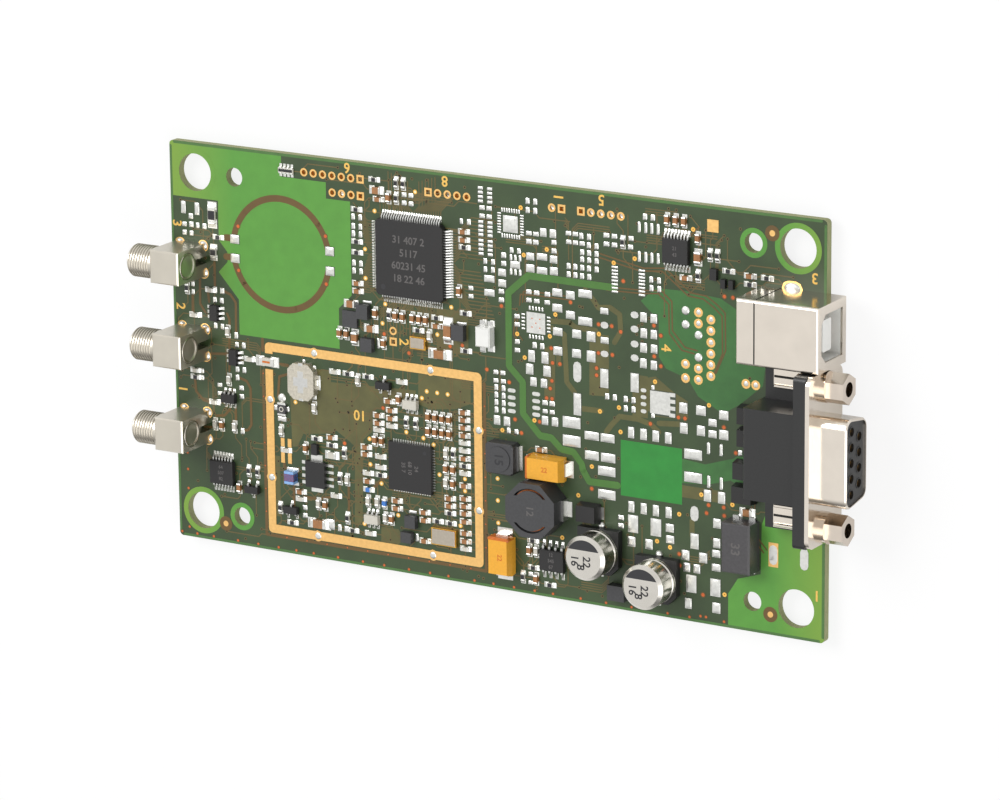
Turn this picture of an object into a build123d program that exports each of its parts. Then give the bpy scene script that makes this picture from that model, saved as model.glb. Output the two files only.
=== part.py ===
from build123d import *
import os

os.makedirs("parts", exist_ok=True)

# circuit board: the origin is the middle of the four large holes, on the underside
board_length = 135.0
board_width = 75.5
board_t = 1.6
board_corner_r = 0.8
mount_hole_d = 7.0
mount_hole_inset_x = 5.5
mount_hole_inset_y = 5.55
small_hole_d = 3.5
small_hole_inset_x = 14.1
top = board_t
left_edge = -board_length / 2
right_edge = board_length / 2
upper_edge = board_width / 2
mount_hole_x = right_edge - mount_hole_inset_x
mount_hole_y = upper_edge - mount_hole_inset_y
small_hole_x = right_edge - small_hole_inset_x


def from_left(*spots):
    # places whose first value is the distance from the left edge of the board
    return tuple((left_edge + spot[0],) + tuple(spot[1:]) for spot in spots)


def from_right(*spots):
    # places whose first value is the distance from the right edge of the board
    return tuple((right_edge - spot[0],) + tuple(spot[1:]) for spot in spots)


# plated holes and solder tails
tail_drop = 1.3
tail_gap = 0.2
header_hole_d = 0.9
small_hole_sides = 8
jack_hole_d = 1.1
jack_hole_large_d = 1.3

# antenna jacks, axis along -X
antenna_y = (16.0, 0.2, -15.7)
antenna_inset = 4.35
antenna_x = left_edge + antenna_inset
antenna_block = 6.2
antenna_block_h = 9.3
antenna_axis_h = 6.1
antenna_barrel_d = 5.9
antenna_barrel_len = 5.4
antenna_bore_d = 4.5
antenna_bore_len = 4.9
antenna_slot_w = 1.3
antenna_slot_h = 3.4
antenna_slot_depth = 2.0
antenna_contact_d = 1.4
antenna_contact_bore_d = 0.8
antenna_insulator_back = 2.2
antenna_cap_d = 5.0
antenna_cap_t = 0.7
antenna_leg = 1.0
antenna_leg_pitch = 5.08
antenna_leg_hole_d = 1.7
curve_gap = 0.04
contact_sides = 10

# square data jack, opening along +X
usb_back_inset = 12.1
usb_back_x = right_edge - usb_back_inset
usb_length = 15.8
usb_y = 19.2
usb_width = 11.6
usb_height = 10.4
usb_wall = 0.4
usb_edge_r = 0.5
usb_open_width = 8.4
usb_open_height = 7.8
usb_open_chamfer = 1.5
usb_open_depth = 8.6
usb_tongue_width = 5.6
usb_tongue_height = 3.2
usb_tab_inset = 6.6
usb_tab_x = right_edge - usb_tab_inset
usb_tab_width = 2.6
usb_tab_t = 0.6
usb_pin = 0.7
usb_pin_row = 1.2
usb_pin_pitch = 2.0
usb_pin_x = (usb_back_x + usb_pin_row, usb_back_x + usb_pin_row + usb_pin_pitch)
usb_pin_y = 1.25
usb_pin_hole_d = 1.2
usb_contact_width = 1.0
usb_contact_t = 0.25

# nine-way connector, facing +X
dsub_y = -2.0
dsub_axis_h = 6.3
dsub_overhang = 3.2
dsub_flange_x = right_edge + dsub_overhang
dsub_flange_t = 0.8
dsub_flange_length = 30.4
dsub_flange_height = 12.4
dsub_flange_r = 1.6
flange_hole_d = 3.1
dsub_plate_t = 2.3
dsub_screw_pitch = 24.99
dsub_shell_len = 5.9
dsub_shell_wide = 16.4
dsub_shell_narrow = 14.0
dsub_shell_height = 7.9
dsub_shell_r = 1.9
dsub_shell_t = 0.4
dsub_housing_inset = 10.3
dsub_housing_back_x = right_edge - dsub_housing_inset
dsub_housing_width = 16.2
dsub_housing_h = 11.2
dsub_ear_h = 3.4
dsub_ear_inset = 9.9
dsub_ear_back_x = right_edge - dsub_ear_inset
dsub_ear_end = 15.0
dsub_contact_pitch = 2.77
dsub_row_pitch = 2.84
dsub_contact_d = 1.5
dsub_contact_bore_d = 0.9
dsub_contact_recess = 0.5
dsub_contact_len = 4.0
dsub_pin = 0.6
dsub_pin_hole_d = 1.1
dsub_pin_inset = 8.5
dsub_pin_x = (right_edge - dsub_pin_inset, right_edge - dsub_pin_inset + dsub_row_pitch)
dsub_lock_inset = 6.5
dsub_lock_x = right_edge - dsub_lock_inset
dsub_lock_d = 2.6
dsub_lock_hole_d = 3.2
bracket_t = 0.6
bracket_width = 4.2
bracket_setback = 1.9
nut_width = 4.4
nut_len = 3.6
jackscrew_hex = 4.8
jackscrew_len = 4.4
jackscrew_collar_d = 5.6
jackscrew_collar_len = 1.0
jackscrew_bore_d = 2.6
jackscrew_bore_len = 3.6

# shielding frame track
track_t = 0.1
track_left = -47.5
track_right = -1.3
track_bottom = -34.3
track_upper = 2.0
track_width = 1.65
track_boss_r = 1.05
track_gap_upper = -0.1
track_gap_lower = -3.1
track_boss_x = (-36.8, -12.05)
track_boss_y = (-8.75, -23.6)

# tall parts
coil_x = 11.0
coil_y = -20.7
coil_size = 10.0
coil_h = 4.5
coil_corner = 2.9
coil_groove_r = 3.9
coil_groove_w = 0.45
coil_groove_depth = 0.8
coil_groove_gap = 5.0
coil_terminal_w = 3.8
coil_terminal_t = 0.35
block_coil_x = 3.6
block_coil_y = -12.6
block_coil_size = 5.7
block_coil_h = 2.6
block_coil_chamfer = 0.4
block_coil_boss_d = 4.6
block_coil_boss_t = 0.15
choke_inset = 15.6
choke_x = right_edge - choke_inset
choke_y = -21.9
choke_width = 5.6
choke_length = 9.0
choke_h = 3.8
tantalum_length = 7.3
tantalum_width = 4.3
tantalum_h = 2.9
tantalum_spots = ((12.7, -13.3, 0), (3.3, -30.9, 90))
tantalum_terminal_w = 2.4
tantalum_terminal_t = 0.25
can_spots = ((23.2, -27.2), (34.85, -30.8))
can_d = 8.2
can_h = 6.7
can_base_size = 8.3
can_base_h = 1.5
can_base_chamfer = 1.6
can_groove_z = 2.3
can_groove_depth = 0.25
can_round = 0.6
can_terminal_w = 0.9
can_terminal_out = 0.75
can_terminal_t = 0.3

# flat packages
mcu_x = -15.42
mcu_y = 21.33
mcu_body = 14.0
mcu_h = 1.5
mcu_standoff = 0.1
mcu_span = 16.2
mcu_pitch = 0.5
mcu_lead_count = 25
mcu_lead_w = 0.24
lead_t = 0.16
radio_x = -16.2
radio_y = -17.5
radio_body = 9.0
radio_h = 0.85
soic_spot = (13.35, -30.55)
soic_length = 4.9
soic_width = 3.9
soic_span = 6.2
soic_pitch = 1.27
tssop_width = 4.4
tssop_length = 5.0
tssop_span = 6.6
tssop_pitch = 0.65
tssop14_spot = (left_edge + 10.3, -24.05)
tssop16_spot = (38.55, 29.15)
ic_h = 1.2
ic_standoff = 0.1
sot_length = 2.9
sot_width = 1.6
sot_h = 1.1
sot_span = 3.0
transistor_width = 1.3
sot_pitch = 0.95
switch_spots = from_left((9.4, 6.25, 90), (13.4, -1.65, 90), (12.1, -9.65, 0))
white_ic_spots = ((-16.0, -5.6, 0), (-24.6, -28.4, 0))
transistor_spots = ((-50.7, -26.5, 180), (-42.2, -29.2, 0), (-21.7, -2.8, 0))
tiny_chips = ((-36.8, -16.9, 1.25, 2.0), (45.9, 25.85, 1.3, 2.0), (47.8, 24.4, 0.9, 1.6),
              (49.35, 24.4, 0.9, 1.6))
tiny_chip_h = 0.85
power_ic_x = -36.6
power_ic_y = -21.6
power_ic_w = 4.1
power_ic_l = 4.9
power_ic_h = 1.0
power_slug_w = 2.5
power_slug_l = 7.1
power_slug_t = 0.2
duplexer_x = -39.05
duplexer_y = -4.25
duplexer_w = 5.6
duplexer_l = 6.8
duplexer_h = 1.4
duplexer_corner = 1.2
lamp_x = -0.1
lamp_y = 9.1
lamp_w = 3.0
lamp_l = 3.6
lamp_h = 1.8

# two-terminal chips: length, width, height
size_0603 = (1.6, 0.8)
size_0805 = (2.0, 1.25)
size_1206 = (3.2, 1.6)
capacitor_h = 0.75
resistor_h = 0.45
ceramic_h = 0.6
array_chip = (-42.0, 34.7, 3.2, 1.2)
filter_chip = (-47.0, -1.65, 3.2, 1.6)
pad_t = 0.1

capacitors_0603 = (
    (-22.4, 31.55, 0), (-20.2, 32.1, 90), (-4.6, 27.6, 0), (-4.6, 26.1, 0), (36.6, 34.5, 90),
    (38.3, 34.5, 90), (39.95, 34.5, 90), (42.65, 31.8, 90), (40.2, 24.5, 0), (-27.1, 15.5, 0),
    (-27.1, 14.05, 0), (-23.4, 10.4, 90), (-31.1, 5.8, 90), (-29.6, 5.8, 90), (-21.7, 5.0, 90),
    (-19.1, 10.4, 90), (-17.6, 10.4, 90), (-15.5, 10.4, 90), (-14.1, 10.4, 90), (-12.7, 10.4, 90),
    (-10.5, 9.6, 0), (-5.65, 16.6, 90), (-12.5, -7.5, 90), (-11.05, -7.5, 90), (-9.55, -7.5, 90),
    (-8.1, -7.5, 90), (-12.5, -10.2, 90), (-11.05, -10.2, 90), (-9.55, -10.2, 90), (-8.1, -10.2, 90),
    (-5.0, -5.7, 0), (-5.0, -7.1, 0), (-5.0, -8.55, 0), (-5.0, -10.0, 0), (-5.0, -14.3, 0),
    (-5.0, -19.4, 0), (-5.0, -21.8, 0), (-5.0, -23.2, 0), (-5.0, -24.6, 0), (-5.0, -26.1, 0),
    (-5.0, -28.3, 0), (-5.0, -29.8, 0), (-8.9, -16.7, 90), (-7.4, -16.7, 90), (-7.45, -19.4, 90),
    (-8.2, -22.2, 0), (-8.2, -23.6, 0), (-13.6, -25.6, 0), (-13.6, -27.1, 0), (-13.6, -31.0, 0),
    (-20.8, -5.7, 0), (-18.7, -5.1, 90), (-20.35, -7.35, 0), (-20.35, -8.85, 0), (-23.15, -8.65, 0),
    (-23.15, -10.1, 0), (-23.9, -13.4, 90), (-22.45, -13.4, 90), (-25.9, -15.0, 0), (-25.9, -16.35, 0),
    (-25.5, -21.4, 0), (-33.3, -14.2, 0), (-38.9, -17.0, 90), (-34.9, -27.3, 90), (-40.25, -25.5, 0),
    (-19.5, -24.25, 0), (-19.5, -25.7, 0), (-20.6, -27.9, 90), (-53.75, -26.6, 90), (8.4, -29.5, 90),
    (9.75, -34.7, 90), (10.9, -10.4, 0)) + from_left(
    (10.2, -15.1, 90)) + from_right(
    (14.7, 26.3, 0))
capacitors_0805 = (
    (-22.75, 33.15, 0), (42.65, 28.4, 90), (-28.6, 11.5, 0), (-24.4, 7.4, 0), (-27.85, 5.3, 90)) + from_right(
    (15.1, -16.1, 0))
capacitors_1206 = (
    (-8.1, 9.0, 90), (-9.9, 4.45, 0), (-36.4, -31.1, 0))
resistors_0603 = (
    (-23.25, 35.05, 0), (-18.6, 34.9, 90), (-17.1, 34.9, 90), (-18.6, 32.15, 90), (-27.1, 29.15, 0),
    (-27.1, 23.2, 0), (-27.1, 21.2, 0), (-4.5, 24.75, 0), (27.75, 29.4, 90), (45.0, 29.1, 90),
    (46.45, 29.1, 90), (42.65, 25.1, 90), (-20.5, 10.4, 90), (-10.45, 11.1, 0), (-14.4, 8.3, 0),
    (-4.45, 12.65, 0), (-4.45, 5.75, 0), (-7.35, -13.8, 90), (-5.0, -15.7, 0), (-8.2, -25.0, 0),
    (-10.8, -26.9, 0), (-8.1, -26.9, 0), (-29.5, -1.7, 0), (-25.3, -1.7, 0), (-22.8, -19.9, 0),
    (-33.3, -15.7, 0), (-36.6, -14.9, 0), (-30.6, -16.8, 90), (-31.65, -21.8, 90), (-29.0, -31.3, 0),
    (-30.15, -29.1, 90), (-51.6, -23.1, 90), (-49.7, -23.1, 90), (-44.8, -29.2, 90), (-42.2, -31.7, 0),
    (9.2, -32.65, 0), (9.1, -27.6, 0), (7.0, -34.7, 90), (12.6, -35.4, 0), (-17.2, -9.2, 90),
    (-15.2, -9.2, 90)) + from_left(
    (10.35, 20.55, 0), (4.6, -6.6, 0), (3.2, 10.2, 90)) + from_right(
    (18.9, 26.65, 0), (14.7, 24.8, 0), (11.4, 26.3, 0))
resistors_0805 = from_left(
    (9.25, 17.6, 90))
resistors_1206 = from_left(
    (9.1, 24.6, 90))
ceramics_0603 = (
    (-12.0, 7.6, 90), (-32.4, -1.7, 0), (-27.4, -2.6, 90), (-18.1, -1.75, 0), (-36.9, -9.1, 90),
    (-20.35, -10.3, 0), (-23.15, -11.4, 0), (-22.85, -16.4, 0), (-22.85, -18.4, 0), (-25.55, -19.9, 0),
    (-32.6, -25.2, 0), (-40.25, -26.9, 0), (-36.4, -27.3, 90), (-30.05, -21.8, 90), (-25.3, -31.3, 0),
    (-25.6, -25.2, 90), (-23.65, -25.1, 90), (-21.95, -27.9, 90), (-44.2, -14.4, 90),
    (-54.5, -15.1, 90), (-50.9, -1.7, 0), (-5.0, -11.4, 0), (-5.0, -12.85, 0), (-5.0, -17.1, 0),
    (-5.0, -31.25, 0), (-8.85, -13.9, 90), (-8.95, -19.4, 90), (9.8, -29.5, 90), (-43.3, -18.0, 0)) + from_left(
    (8.35, 10.4, 0), (12.0, 3.0, 90), (4.7, 5.25, 0), (8.7, -15.1, 90), (8.6, -10.9, 0),
    (12.0, -6.2, 90), (4.6, -5.3, 0))
ceramics_0805 = ((-33.3, -17.6, 0),)
blue_coils_0603 = ((-25.5, -23.0, 0), (-22.1, -25.1, 90))
blue_coil_large = (-42.0, -22.8)
blue_coil_large_w = 2.0
blue_coil_large_l = 2.4
blue_coil_large_h = 1.5

# plain dark blocks: x, y, width, length, height
cube_coils = (
    (26.9, -34.4, 3.4, 2.8, 1.8), (-25.75, 10.5, 2.4, 2.7, 1.2), (-24.95, 4.4, 2.4, 2.5, 1.2), (-5.65, 9.1, 2.5, 2.9, 1.2),
    (-16.2, -27.65, 2.2, 2.3, 1.2), (-17.1, -30.7, 2.2, 2.0, 1.2), (-28.7, 8.7, 3.1, 3.1, 0.6),
    (-43.9, -10.2, 1.7, 2.4, 0.6))
diode_spots = ((21.0, -20.5),) + from_right((14.3, 1.7), (14.3, -2.3), (15.1, -8.3), (15.3, -12.6))
diode_length = 4.2
diode_width = 3.4
diode_h = 2.2
diode_terminal_w = 2.2
diode_terminal_out = 0.6
diode_terminal_t = 0.25

# unfitted solder pads: x, y, width, length
large_pads = (
    (-53.55, 20.6, 1.9, 1.6), (-53.55, 17.0, 1.9, 1.6), (-33.0, 20.7, 1.8, 1.6),
    (-33.0, 17.0, 1.8, 1.6), (5.0, 30.05, 3.0, 3.0), (11.7, 29.3, 1.3, 1.5), (9.0, 24.65, 1.6, 1.3),
    (11.4, 24.85, 2.1, 1.2), (9.0, 22.5, 1.7, 1.4), (11.4, 22.35, 2.1, 1.2), (5.9, 22.75, 2.0, 1.3),
    (3.2, 21.05, 1.6, 1.3), (0.55, 19.6, 2.1, 1.2), (0.55, 17.05, 2.1, 1.2), (3.2, 19.1, 1.6, 1.3),
    (13.65, 29.3, 1.3, 1.5), (13.75, 24.65, 1.5, 1.35), (13.8, 22.55, 1.6, 1.4),
    (10.05, 12.65, 3.8, 3.8), (9.1, 6.55, 1.35, 2.1), (11.85, 6.55, 1.4, 2.1), (8.7, 4.1, 1.5, 1.9),
    (12.25, 4.15, 1.5, 1.9), (9.45, 1.85, 1.3, 1.6), (11.6, 1.85, 1.3, 1.6), (1.85, -6.2, 1.3, 1.7),
    (3.9, -6.2, 1.3, 1.7), (11.75, -4.95, 1.3, 1.6), (13.8, -4.95, 1.3, 1.6), (14.45, 18.75, 2.0, 1.35),
    (17.1, 18.6, 1.75, 1.45), (20.1, 19.2, 2.7, 1.4), (14.45, 15.95, 2.0, 1.4), (17.1, 15.0, 1.8, 1.4),
    (23.95, 16.55, 1.6, 1.1), (20.1, 14.2, 2.8, 1.45), (14.5, 11.65, 1.9, 1.4), (18.35, 11.7, 1.8, 1.5),
    (21.25, 11.6, 1.75, 1.8), (24.0, 11.25, 1.6, 1.1), (14.5, 8.15, 1.8, 1.5), (18.3, 8.15, 1.8, 1.5),
    (21.25, 8.0, 1.75, 2.0), (23.9, 4.35, 1.6, 3.4), (30.0, 4.35, 1.6, 3.4), (31.8, 16.4, 1.3, 1.7),
    (33.85, 16.4, 1.3, 1.6), (31.85, 13.55, 1.3, 1.7), (33.85, 13.55, 1.25, 1.6),
    (31.8, 10.9, 1.35, 1.7), (33.9, 10.95, 1.3, 1.5), (31.75, 8.1, 1.3, 1.7), (33.85, 8.0, 1.25, 1.6),
    (18.4, -1.1, 1.5, 4.0), (17.2, -4.6, 3.6, 2.0), (17.2, -8.0, 3.6, 2.0), (21.3, -6.5, 2.9, 1.5),
    (24.5, -6.5, 2.8, 1.5), (21.3, -10.1, 2.8, 1.6), (24.6, -10.1, 2.9, 1.6), (24.3, -12.6, 3.5, 1.7),
    (24.3, -16.9, 3.5, 1.7), (29.25, -4.8, 1.2, 2.0), (31.75, -4.8, 1.3, 2.0), (34.2, -4.8, 1.3, 2.0),
    (36.7, -4.8, 1.3, 2.0), (29.25, -18.4, 1.2, 2.0), (31.75, -18.4, 1.2, 2.0), (34.2, -18.4, 1.2, 2.0),
    (36.75, -18.4, 1.2, 2.0), (39.7, 1.05, 1.6, 1.9), (43.2, 1.05, 1.9, 1.7), (47.7, 0.8, 1.8, 1.6),
    (45.5, -0.85, 1.6, 1.3), (39.8, -2.6, 1.5, 1.9), (43.2, -2.6, 1.6, 1.8), (45.5, -2.9, 1.6, 1.3),
    (47.7, -2.75, 1.8, 1.7), (41.65, -7.1, 3.5, 1.8), (41.65, -11.3, 3.5, 1.8), (44.5, -14.2, 1.4, 2.1),
    (47.3, -14.2, 1.4, 2.1), (46.4, -19.0, 1.5, 1.7), (41.95, -22.9, 1.6, 2.8),
    (46.35, -22.6, 1.4, 1.7), (46.25, -24.55, 1.6, 1.3), (40.15, -25.7, 1.5, 1.8),
    (43.65, -25.7, 1.6, 1.8), (46.25, -27.1, 1.7, 1.3), (40.4, -27.9, 1.3, 1.6),
    (42.4, -27.9, 1.3, 1.6), (41.3, -30.8, 2.0, 3.2), (46.1, -30.8, 2.0, 3.2), (40.7, -34.5, 1.3, 1.9),
    (46.3, -34.5, 1.6, 1.9), (29.6, -21.5, 2.0, 3.2), (34.2, -21.5, 2.1, 3.2), (37.0, -21.2, 1.6, 1.5),
    (37.05, -23.3, 1.6, 1.4), (29.3, -24.8, 1.5, 1.8), (32.8, -24.8, 1.5, 1.8)) + from_left(
    (2.8, 25.4, 1.0, 2.3), (5.8, 25.4, 1.0, 2.3))
gold_pads = (
    (45.5, 34.3, 2.2, 2.2), (-44.05, -16.6, 0.8, 1.6), (-42.55, -16.6, 0.8, 1.6),
    (-44.05, -19.5, 0.8, 2.0), (-42.55, -19.5, 0.8, 2.0))
tab_pad = (35.1, 1.35, 4.0, 4.1)
tab_pad_leads = (3.1, 1.9, 0.65, -0.6)

header_pitch = 2.0


def header_row(first_x, y, count):
    return tuple((first_x + i * header_pitch, y) for i in range(count))


header_upper_inset = 3.0
header_lower_inset = 6.1
header_middle_inset = 3.8
header_holes = (
    header_row(-38.25, upper_edge - header_upper_inset, 7)
    + header_row(-32.25, upper_edge - header_lower_inset, 4)
    + header_row(-12.0, upper_edge - header_middle_inset, 5)
    + header_row(13.4, upper_edge - header_middle_inset, 2)
    + header_row(19.3, upper_edge - header_middle_inset, 5)
    + ((-19.8, 5.5), (-19.8, 5.5 + header_pitch)))
network_holes = (
    (42.65, 18.6), (42.65, 16.6), (42.65, 14.5), (42.65, 10.5), (42.65, 8.5), (42.65, 6.5),
    (45.1, 17.6), (45.1, 15.6), (45.1, 13.6), (45.1, 11.6), (45.1, 9.6), (45.1, 7.5))
network_large_holes = ((40.1, 18.6), (40.1, 16.1), (40.1, 9.05), (40.1, 6.5))
lower_slots = from_right((10.1, -23.1), (3.9, -23.1))
slot_length = 3.2
slot_width = 1.0


def turned(spot):
    return Location((spot[0], spot[1], 0), (0, 0, spot[2]))


def raised(spot, lift=0.0):
    return Location((spot[0], spot[1], top + lift), (0, 0, spot[2]))


leg_half = antenna_leg_pitch / 2
antenna_leg_spots = tuple(
    (antenna_x + sx * leg_half, y + sy * leg_half)
    for y in antenna_y for sx in (-1, 1) for sy in (-1, 1))
usb_pin_spots = tuple((x, usb_y + sy * usb_pin_y) for x in usb_pin_x for sy in (-1, 1))
dsub_rear_spots = tuple((dsub_pin_x[0], dsub_y + (i - 2) * dsub_contact_pitch) for i in range(5))
dsub_front_spots = tuple((dsub_pin_x[1], dsub_y + (i - 1.5) * dsub_contact_pitch) for i in range(4))
dsub_pin_spots = dsub_rear_spots + dsub_front_spots
dsub_screw_half = dsub_screw_pitch / 2
dsub_lock_spots = tuple((dsub_lock_x, dsub_y + s * dsub_screw_half) for s in (-1, 1))
usb_tab_spots = tuple(
    (usb_tab_x, usb_y + s * (usb_width / 2 - usb_tab_t / 2)) for s in (-1, 1))

with BuildPart() as board:
    with BuildSketch():
        RectangleRounded(board_length, board_width, board_corner_r)
        with Locations(*[(sx * mount_hole_x, sy * mount_hole_y) for sx in (-1, 1) for sy in (-1, 1)]):
            Circle(mount_hole_d / 2, mode=Mode.SUBTRACT)
        with Locations(*[(sx * small_hole_x, sy * mount_hole_y) for sx in (-1, 1) for sy in (-1, 1)]):
            Circle(small_hole_d / 2, mode=Mode.SUBTRACT)
        for spots, hole_d in (
                (header_holes, header_hole_d), (network_holes, jack_hole_d),
                (network_large_holes, jack_hole_large_d), (antenna_leg_spots, antenna_leg_hole_d),
                (usb_pin_spots, usb_pin_hole_d), (dsub_pin_spots, dsub_pin_hole_d)):
            with Locations(*spots):
                RegularPolygon(hole_d / 2, small_hole_sides, major_radius=False, mode=Mode.SUBTRACT)
        with Locations(*dsub_lock_spots):
            Circle(dsub_lock_hole_d / 2, mode=Mode.SUBTRACT)
        with Locations(*usb_tab_spots):
            Rectangle(usb_tab_width + 2 * tail_gap, usb_tab_t + 2 * tail_gap, mode=Mode.SUBTRACT)
        with Locations(*lower_slots):
            SlotOverall(slot_length, slot_width, rotation=90, mode=Mode.SUBTRACT)
    extrude(amount=board_t)
board.part.label = "board"
export_step(board.part, "parts/board.step")

track_mid_x = (track_left + track_right) / 2
track_mid_y = (track_bottom + track_upper) / 2
with BuildPart() as shield_track:
    with BuildSketch(Plane.XY.offset(top)):
        with Locations((track_mid_x, track_mid_y)):
            RectangleRounded(track_right - track_left, track_upper - track_bottom, 0.9)
            Rectangle(
                track_right - track_left - 2 * track_width,
                track_upper - track_bottom - 2 * track_width, mode=Mode.SUBTRACT)
        with Locations((track_left + track_width / 2, (track_gap_upper + track_gap_lower) / 2)):
            Rectangle(2 * track_width, track_gap_upper - track_gap_lower, mode=Mode.SUBTRACT)
        for x in track_boss_x:
            with Locations((x, track_upper - track_width / 2), (x, track_bottom + track_width / 2)):
                RegularPolygon(track_boss_r, small_hole_sides)
        for y in track_boss_y:
            with Locations((track_left + track_width / 2, y), (track_right - track_width / 2, y)):
                RegularPolygon(track_boss_r, small_hole_sides)
    extrude(amount=track_t)
shield_track.part.label = "shield_track"
export_step(shield_track.part, "parts/shield_track.step")

pad_plates = []
for x, y, w, h in large_pads + (tab_pad,):
    plate = Box(w, h, pad_t)
    pad_plates.append(plate.moved(Location((x, y, top + pad_t / 2))))
with BuildPart() as tinned_pads:
    add(pad_plates)
    with Locations(*[(tab_pad[0] + tab_pad[2] / 2 + 0.4, y, top + pad_t / 2) for y in tab_pad_leads]):
        Box(1.2, 0.7, pad_t)
tinned_pads.part.label = "tinned_pads"
export_step(tinned_pads.part, "parts/tinned_pads.step")

with BuildPart() as gold_contacts:
    for x, y, w, h in gold_pads:
        with Locations((x, y, top + pad_t / 2)):
            Box(w, h, pad_t)
gold_contacts.part.label = "gold_contacts"
export_step(gold_contacts.part, "parts/gold_contacts.step")

antenna_z = top + antenna_axis_h
antenna_front_x = antenna_x - antenna_block / 2
for number, jack_y in enumerate(reversed(antenna_y), start=1):
    with BuildPart() as antenna_body:
        with BuildSketch(Plane.XY.offset(top)):
            with Locations((antenna_x, jack_y)):
                Rectangle(antenna_block, antenna_block)
        extrude(amount=antenna_block_h)
        chamfer(antenna_body.faces().sort_by(Axis.Z)[-1].edges(), 0.25)
        for sx in (-1, 1):
            for sy in (-1, 1):
                with Locations((antenna_x + sx * leg_half, jack_y + sy * leg_half, -tail_drop)):
                    Box(antenna_leg, antenna_leg, board_t + tail_drop + 0.1,
                        align=(Align.CENTER, Align.CENTER, Align.MIN))
        with BuildSketch(Plane(origin=(antenna_front_x, jack_y, antenna_z), z_dir=(-1, 0, 0))):
            Circle(antenna_barrel_d / 2)
        extrude(amount=antenna_barrel_len)
        barrel_rim = antenna_body.faces().sort_by(Axis.X)[0].edges()
        chamfer(barrel_rim, 0.35)
        with BuildSketch(Plane(origin=(antenna_front_x - antenna_barrel_len, jack_y, antenna_z),
                               z_dir=(1, 0, 0))):
            Circle(antenna_bore_d / 2)
        extrude(amount=antenna_bore_len, mode=Mode.SUBTRACT)
        with BuildSketch(Plane(origin=(antenna_x + antenna_block / 2, jack_y, antenna_z),
                               z_dir=(-1, 0, 0))):
            Circle(antenna_cap_d / 2)
        extrude(amount=antenna_cap_t, mode=Mode.SUBTRACT)
        with Locations((antenna_x + antenna_block / 2, jack_y, top + antenna_slot_h / 2)):
            Box(2 * antenna_slot_depth, antenna_slot_w, antenna_slot_h, mode=Mode.SUBTRACT)
    antenna_body.part.label = f"antenna_jack_{number}_body"
    export_step(antenna_body.part, f"parts/antenna_jack_{number}_body.step")

    insulator_front = antenna_front_x - antenna_barrel_len + antenna_insulator_back
    insulator_len = antenna_bore_len - antenna_insulator_back
    with BuildPart() as antenna_insulator:
        with BuildSketch(Plane(origin=(insulator_front, jack_y, antenna_z), z_dir=(1, 0, 0))):
            Circle(antenna_bore_d / 2 - curve_gap)
            RegularPolygon(antenna_contact_d / 2 + curve_gap, contact_sides, mode=Mode.SUBTRACT)
        extrude(amount=insulator_len)
    antenna_insulator.part.label = f"antenna_jack_{number}_insulator"
    export_step(antenna_insulator.part, f"parts/antenna_jack_{number}_insulator.step")

    contact_len = antenna_bore_len - 0.8
    with BuildPart() as antenna_contact:
        with BuildSketch(Plane(origin=(antenna_front_x - antenna_barrel_len + 0.8, jack_y, antenna_z),
                               z_dir=(1, 0, 0))):
            RegularPolygon(antenna_contact_d / 2, contact_sides)
        extrude(amount=contact_len)
        with BuildSketch(Plane(origin=(antenna_front_x - antenna_barrel_len + 0.8, jack_y, antenna_z),
                               z_dir=(1, 0, 0))):
            RegularPolygon(antenna_contact_bore_d / 2, contact_sides)
        extrude(amount=contact_len - 1.0, mode=Mode.SUBTRACT)
    antenna_contact.part.label = f"antenna_jack_{number}_contact"
    export_step(antenna_contact.part, f"parts/antenna_jack_{number}_contact.step")

usb_front_x = usb_back_x + usb_length
usb_mid_x = usb_back_x + usb_length / 2
usb_mid_z = top + usb_height / 2
with BuildPart() as usb_shell:
    with Locations((usb_mid_x, usb_y, usb_mid_z)):
        Box(usb_length, usb_width, usb_height)
    top_edges = usb_shell.faces().sort_by(Axis.Z)[-1].edges()
    fillet(top_edges, usb_edge_r)
    with Locations((usb_mid_x, usb_y, top + (usb_height - usb_wall) / 2)):
        Box(usb_length - 2 * usb_wall, usb_width - 2 * usb_wall, usb_height - usb_wall,
            mode=Mode.SUBTRACT)
    with BuildSketch(Plane(origin=(usb_front_x, usb_y, usb_mid_z), x_dir=(0, 1, 0), z_dir=(1, 0, 0))):
        with BuildLine():
            w = usb_open_width / 2
            h = usb_open_height / 2
            c = usb_open_chamfer
            Polyline((-w, -h), (w, -h), (w, h - c), (w - c, h), (c - w, h), (-w, h - c), close=True)
        make_face()
    extrude(amount=-2 * usb_wall, mode=Mode.SUBTRACT)
    for x, y in usb_tab_spots:
        with Locations((x, y, -tail_drop)):
            Box(usb_tab_width, usb_tab_t, board_t + tail_drop + 0.4,
                align=(Align.CENTER, Align.CENTER, Align.MIN))
usb_shell.part.label = "usb_shell"
export_step(usb_shell.part, "parts/usb_shell.step")

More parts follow.
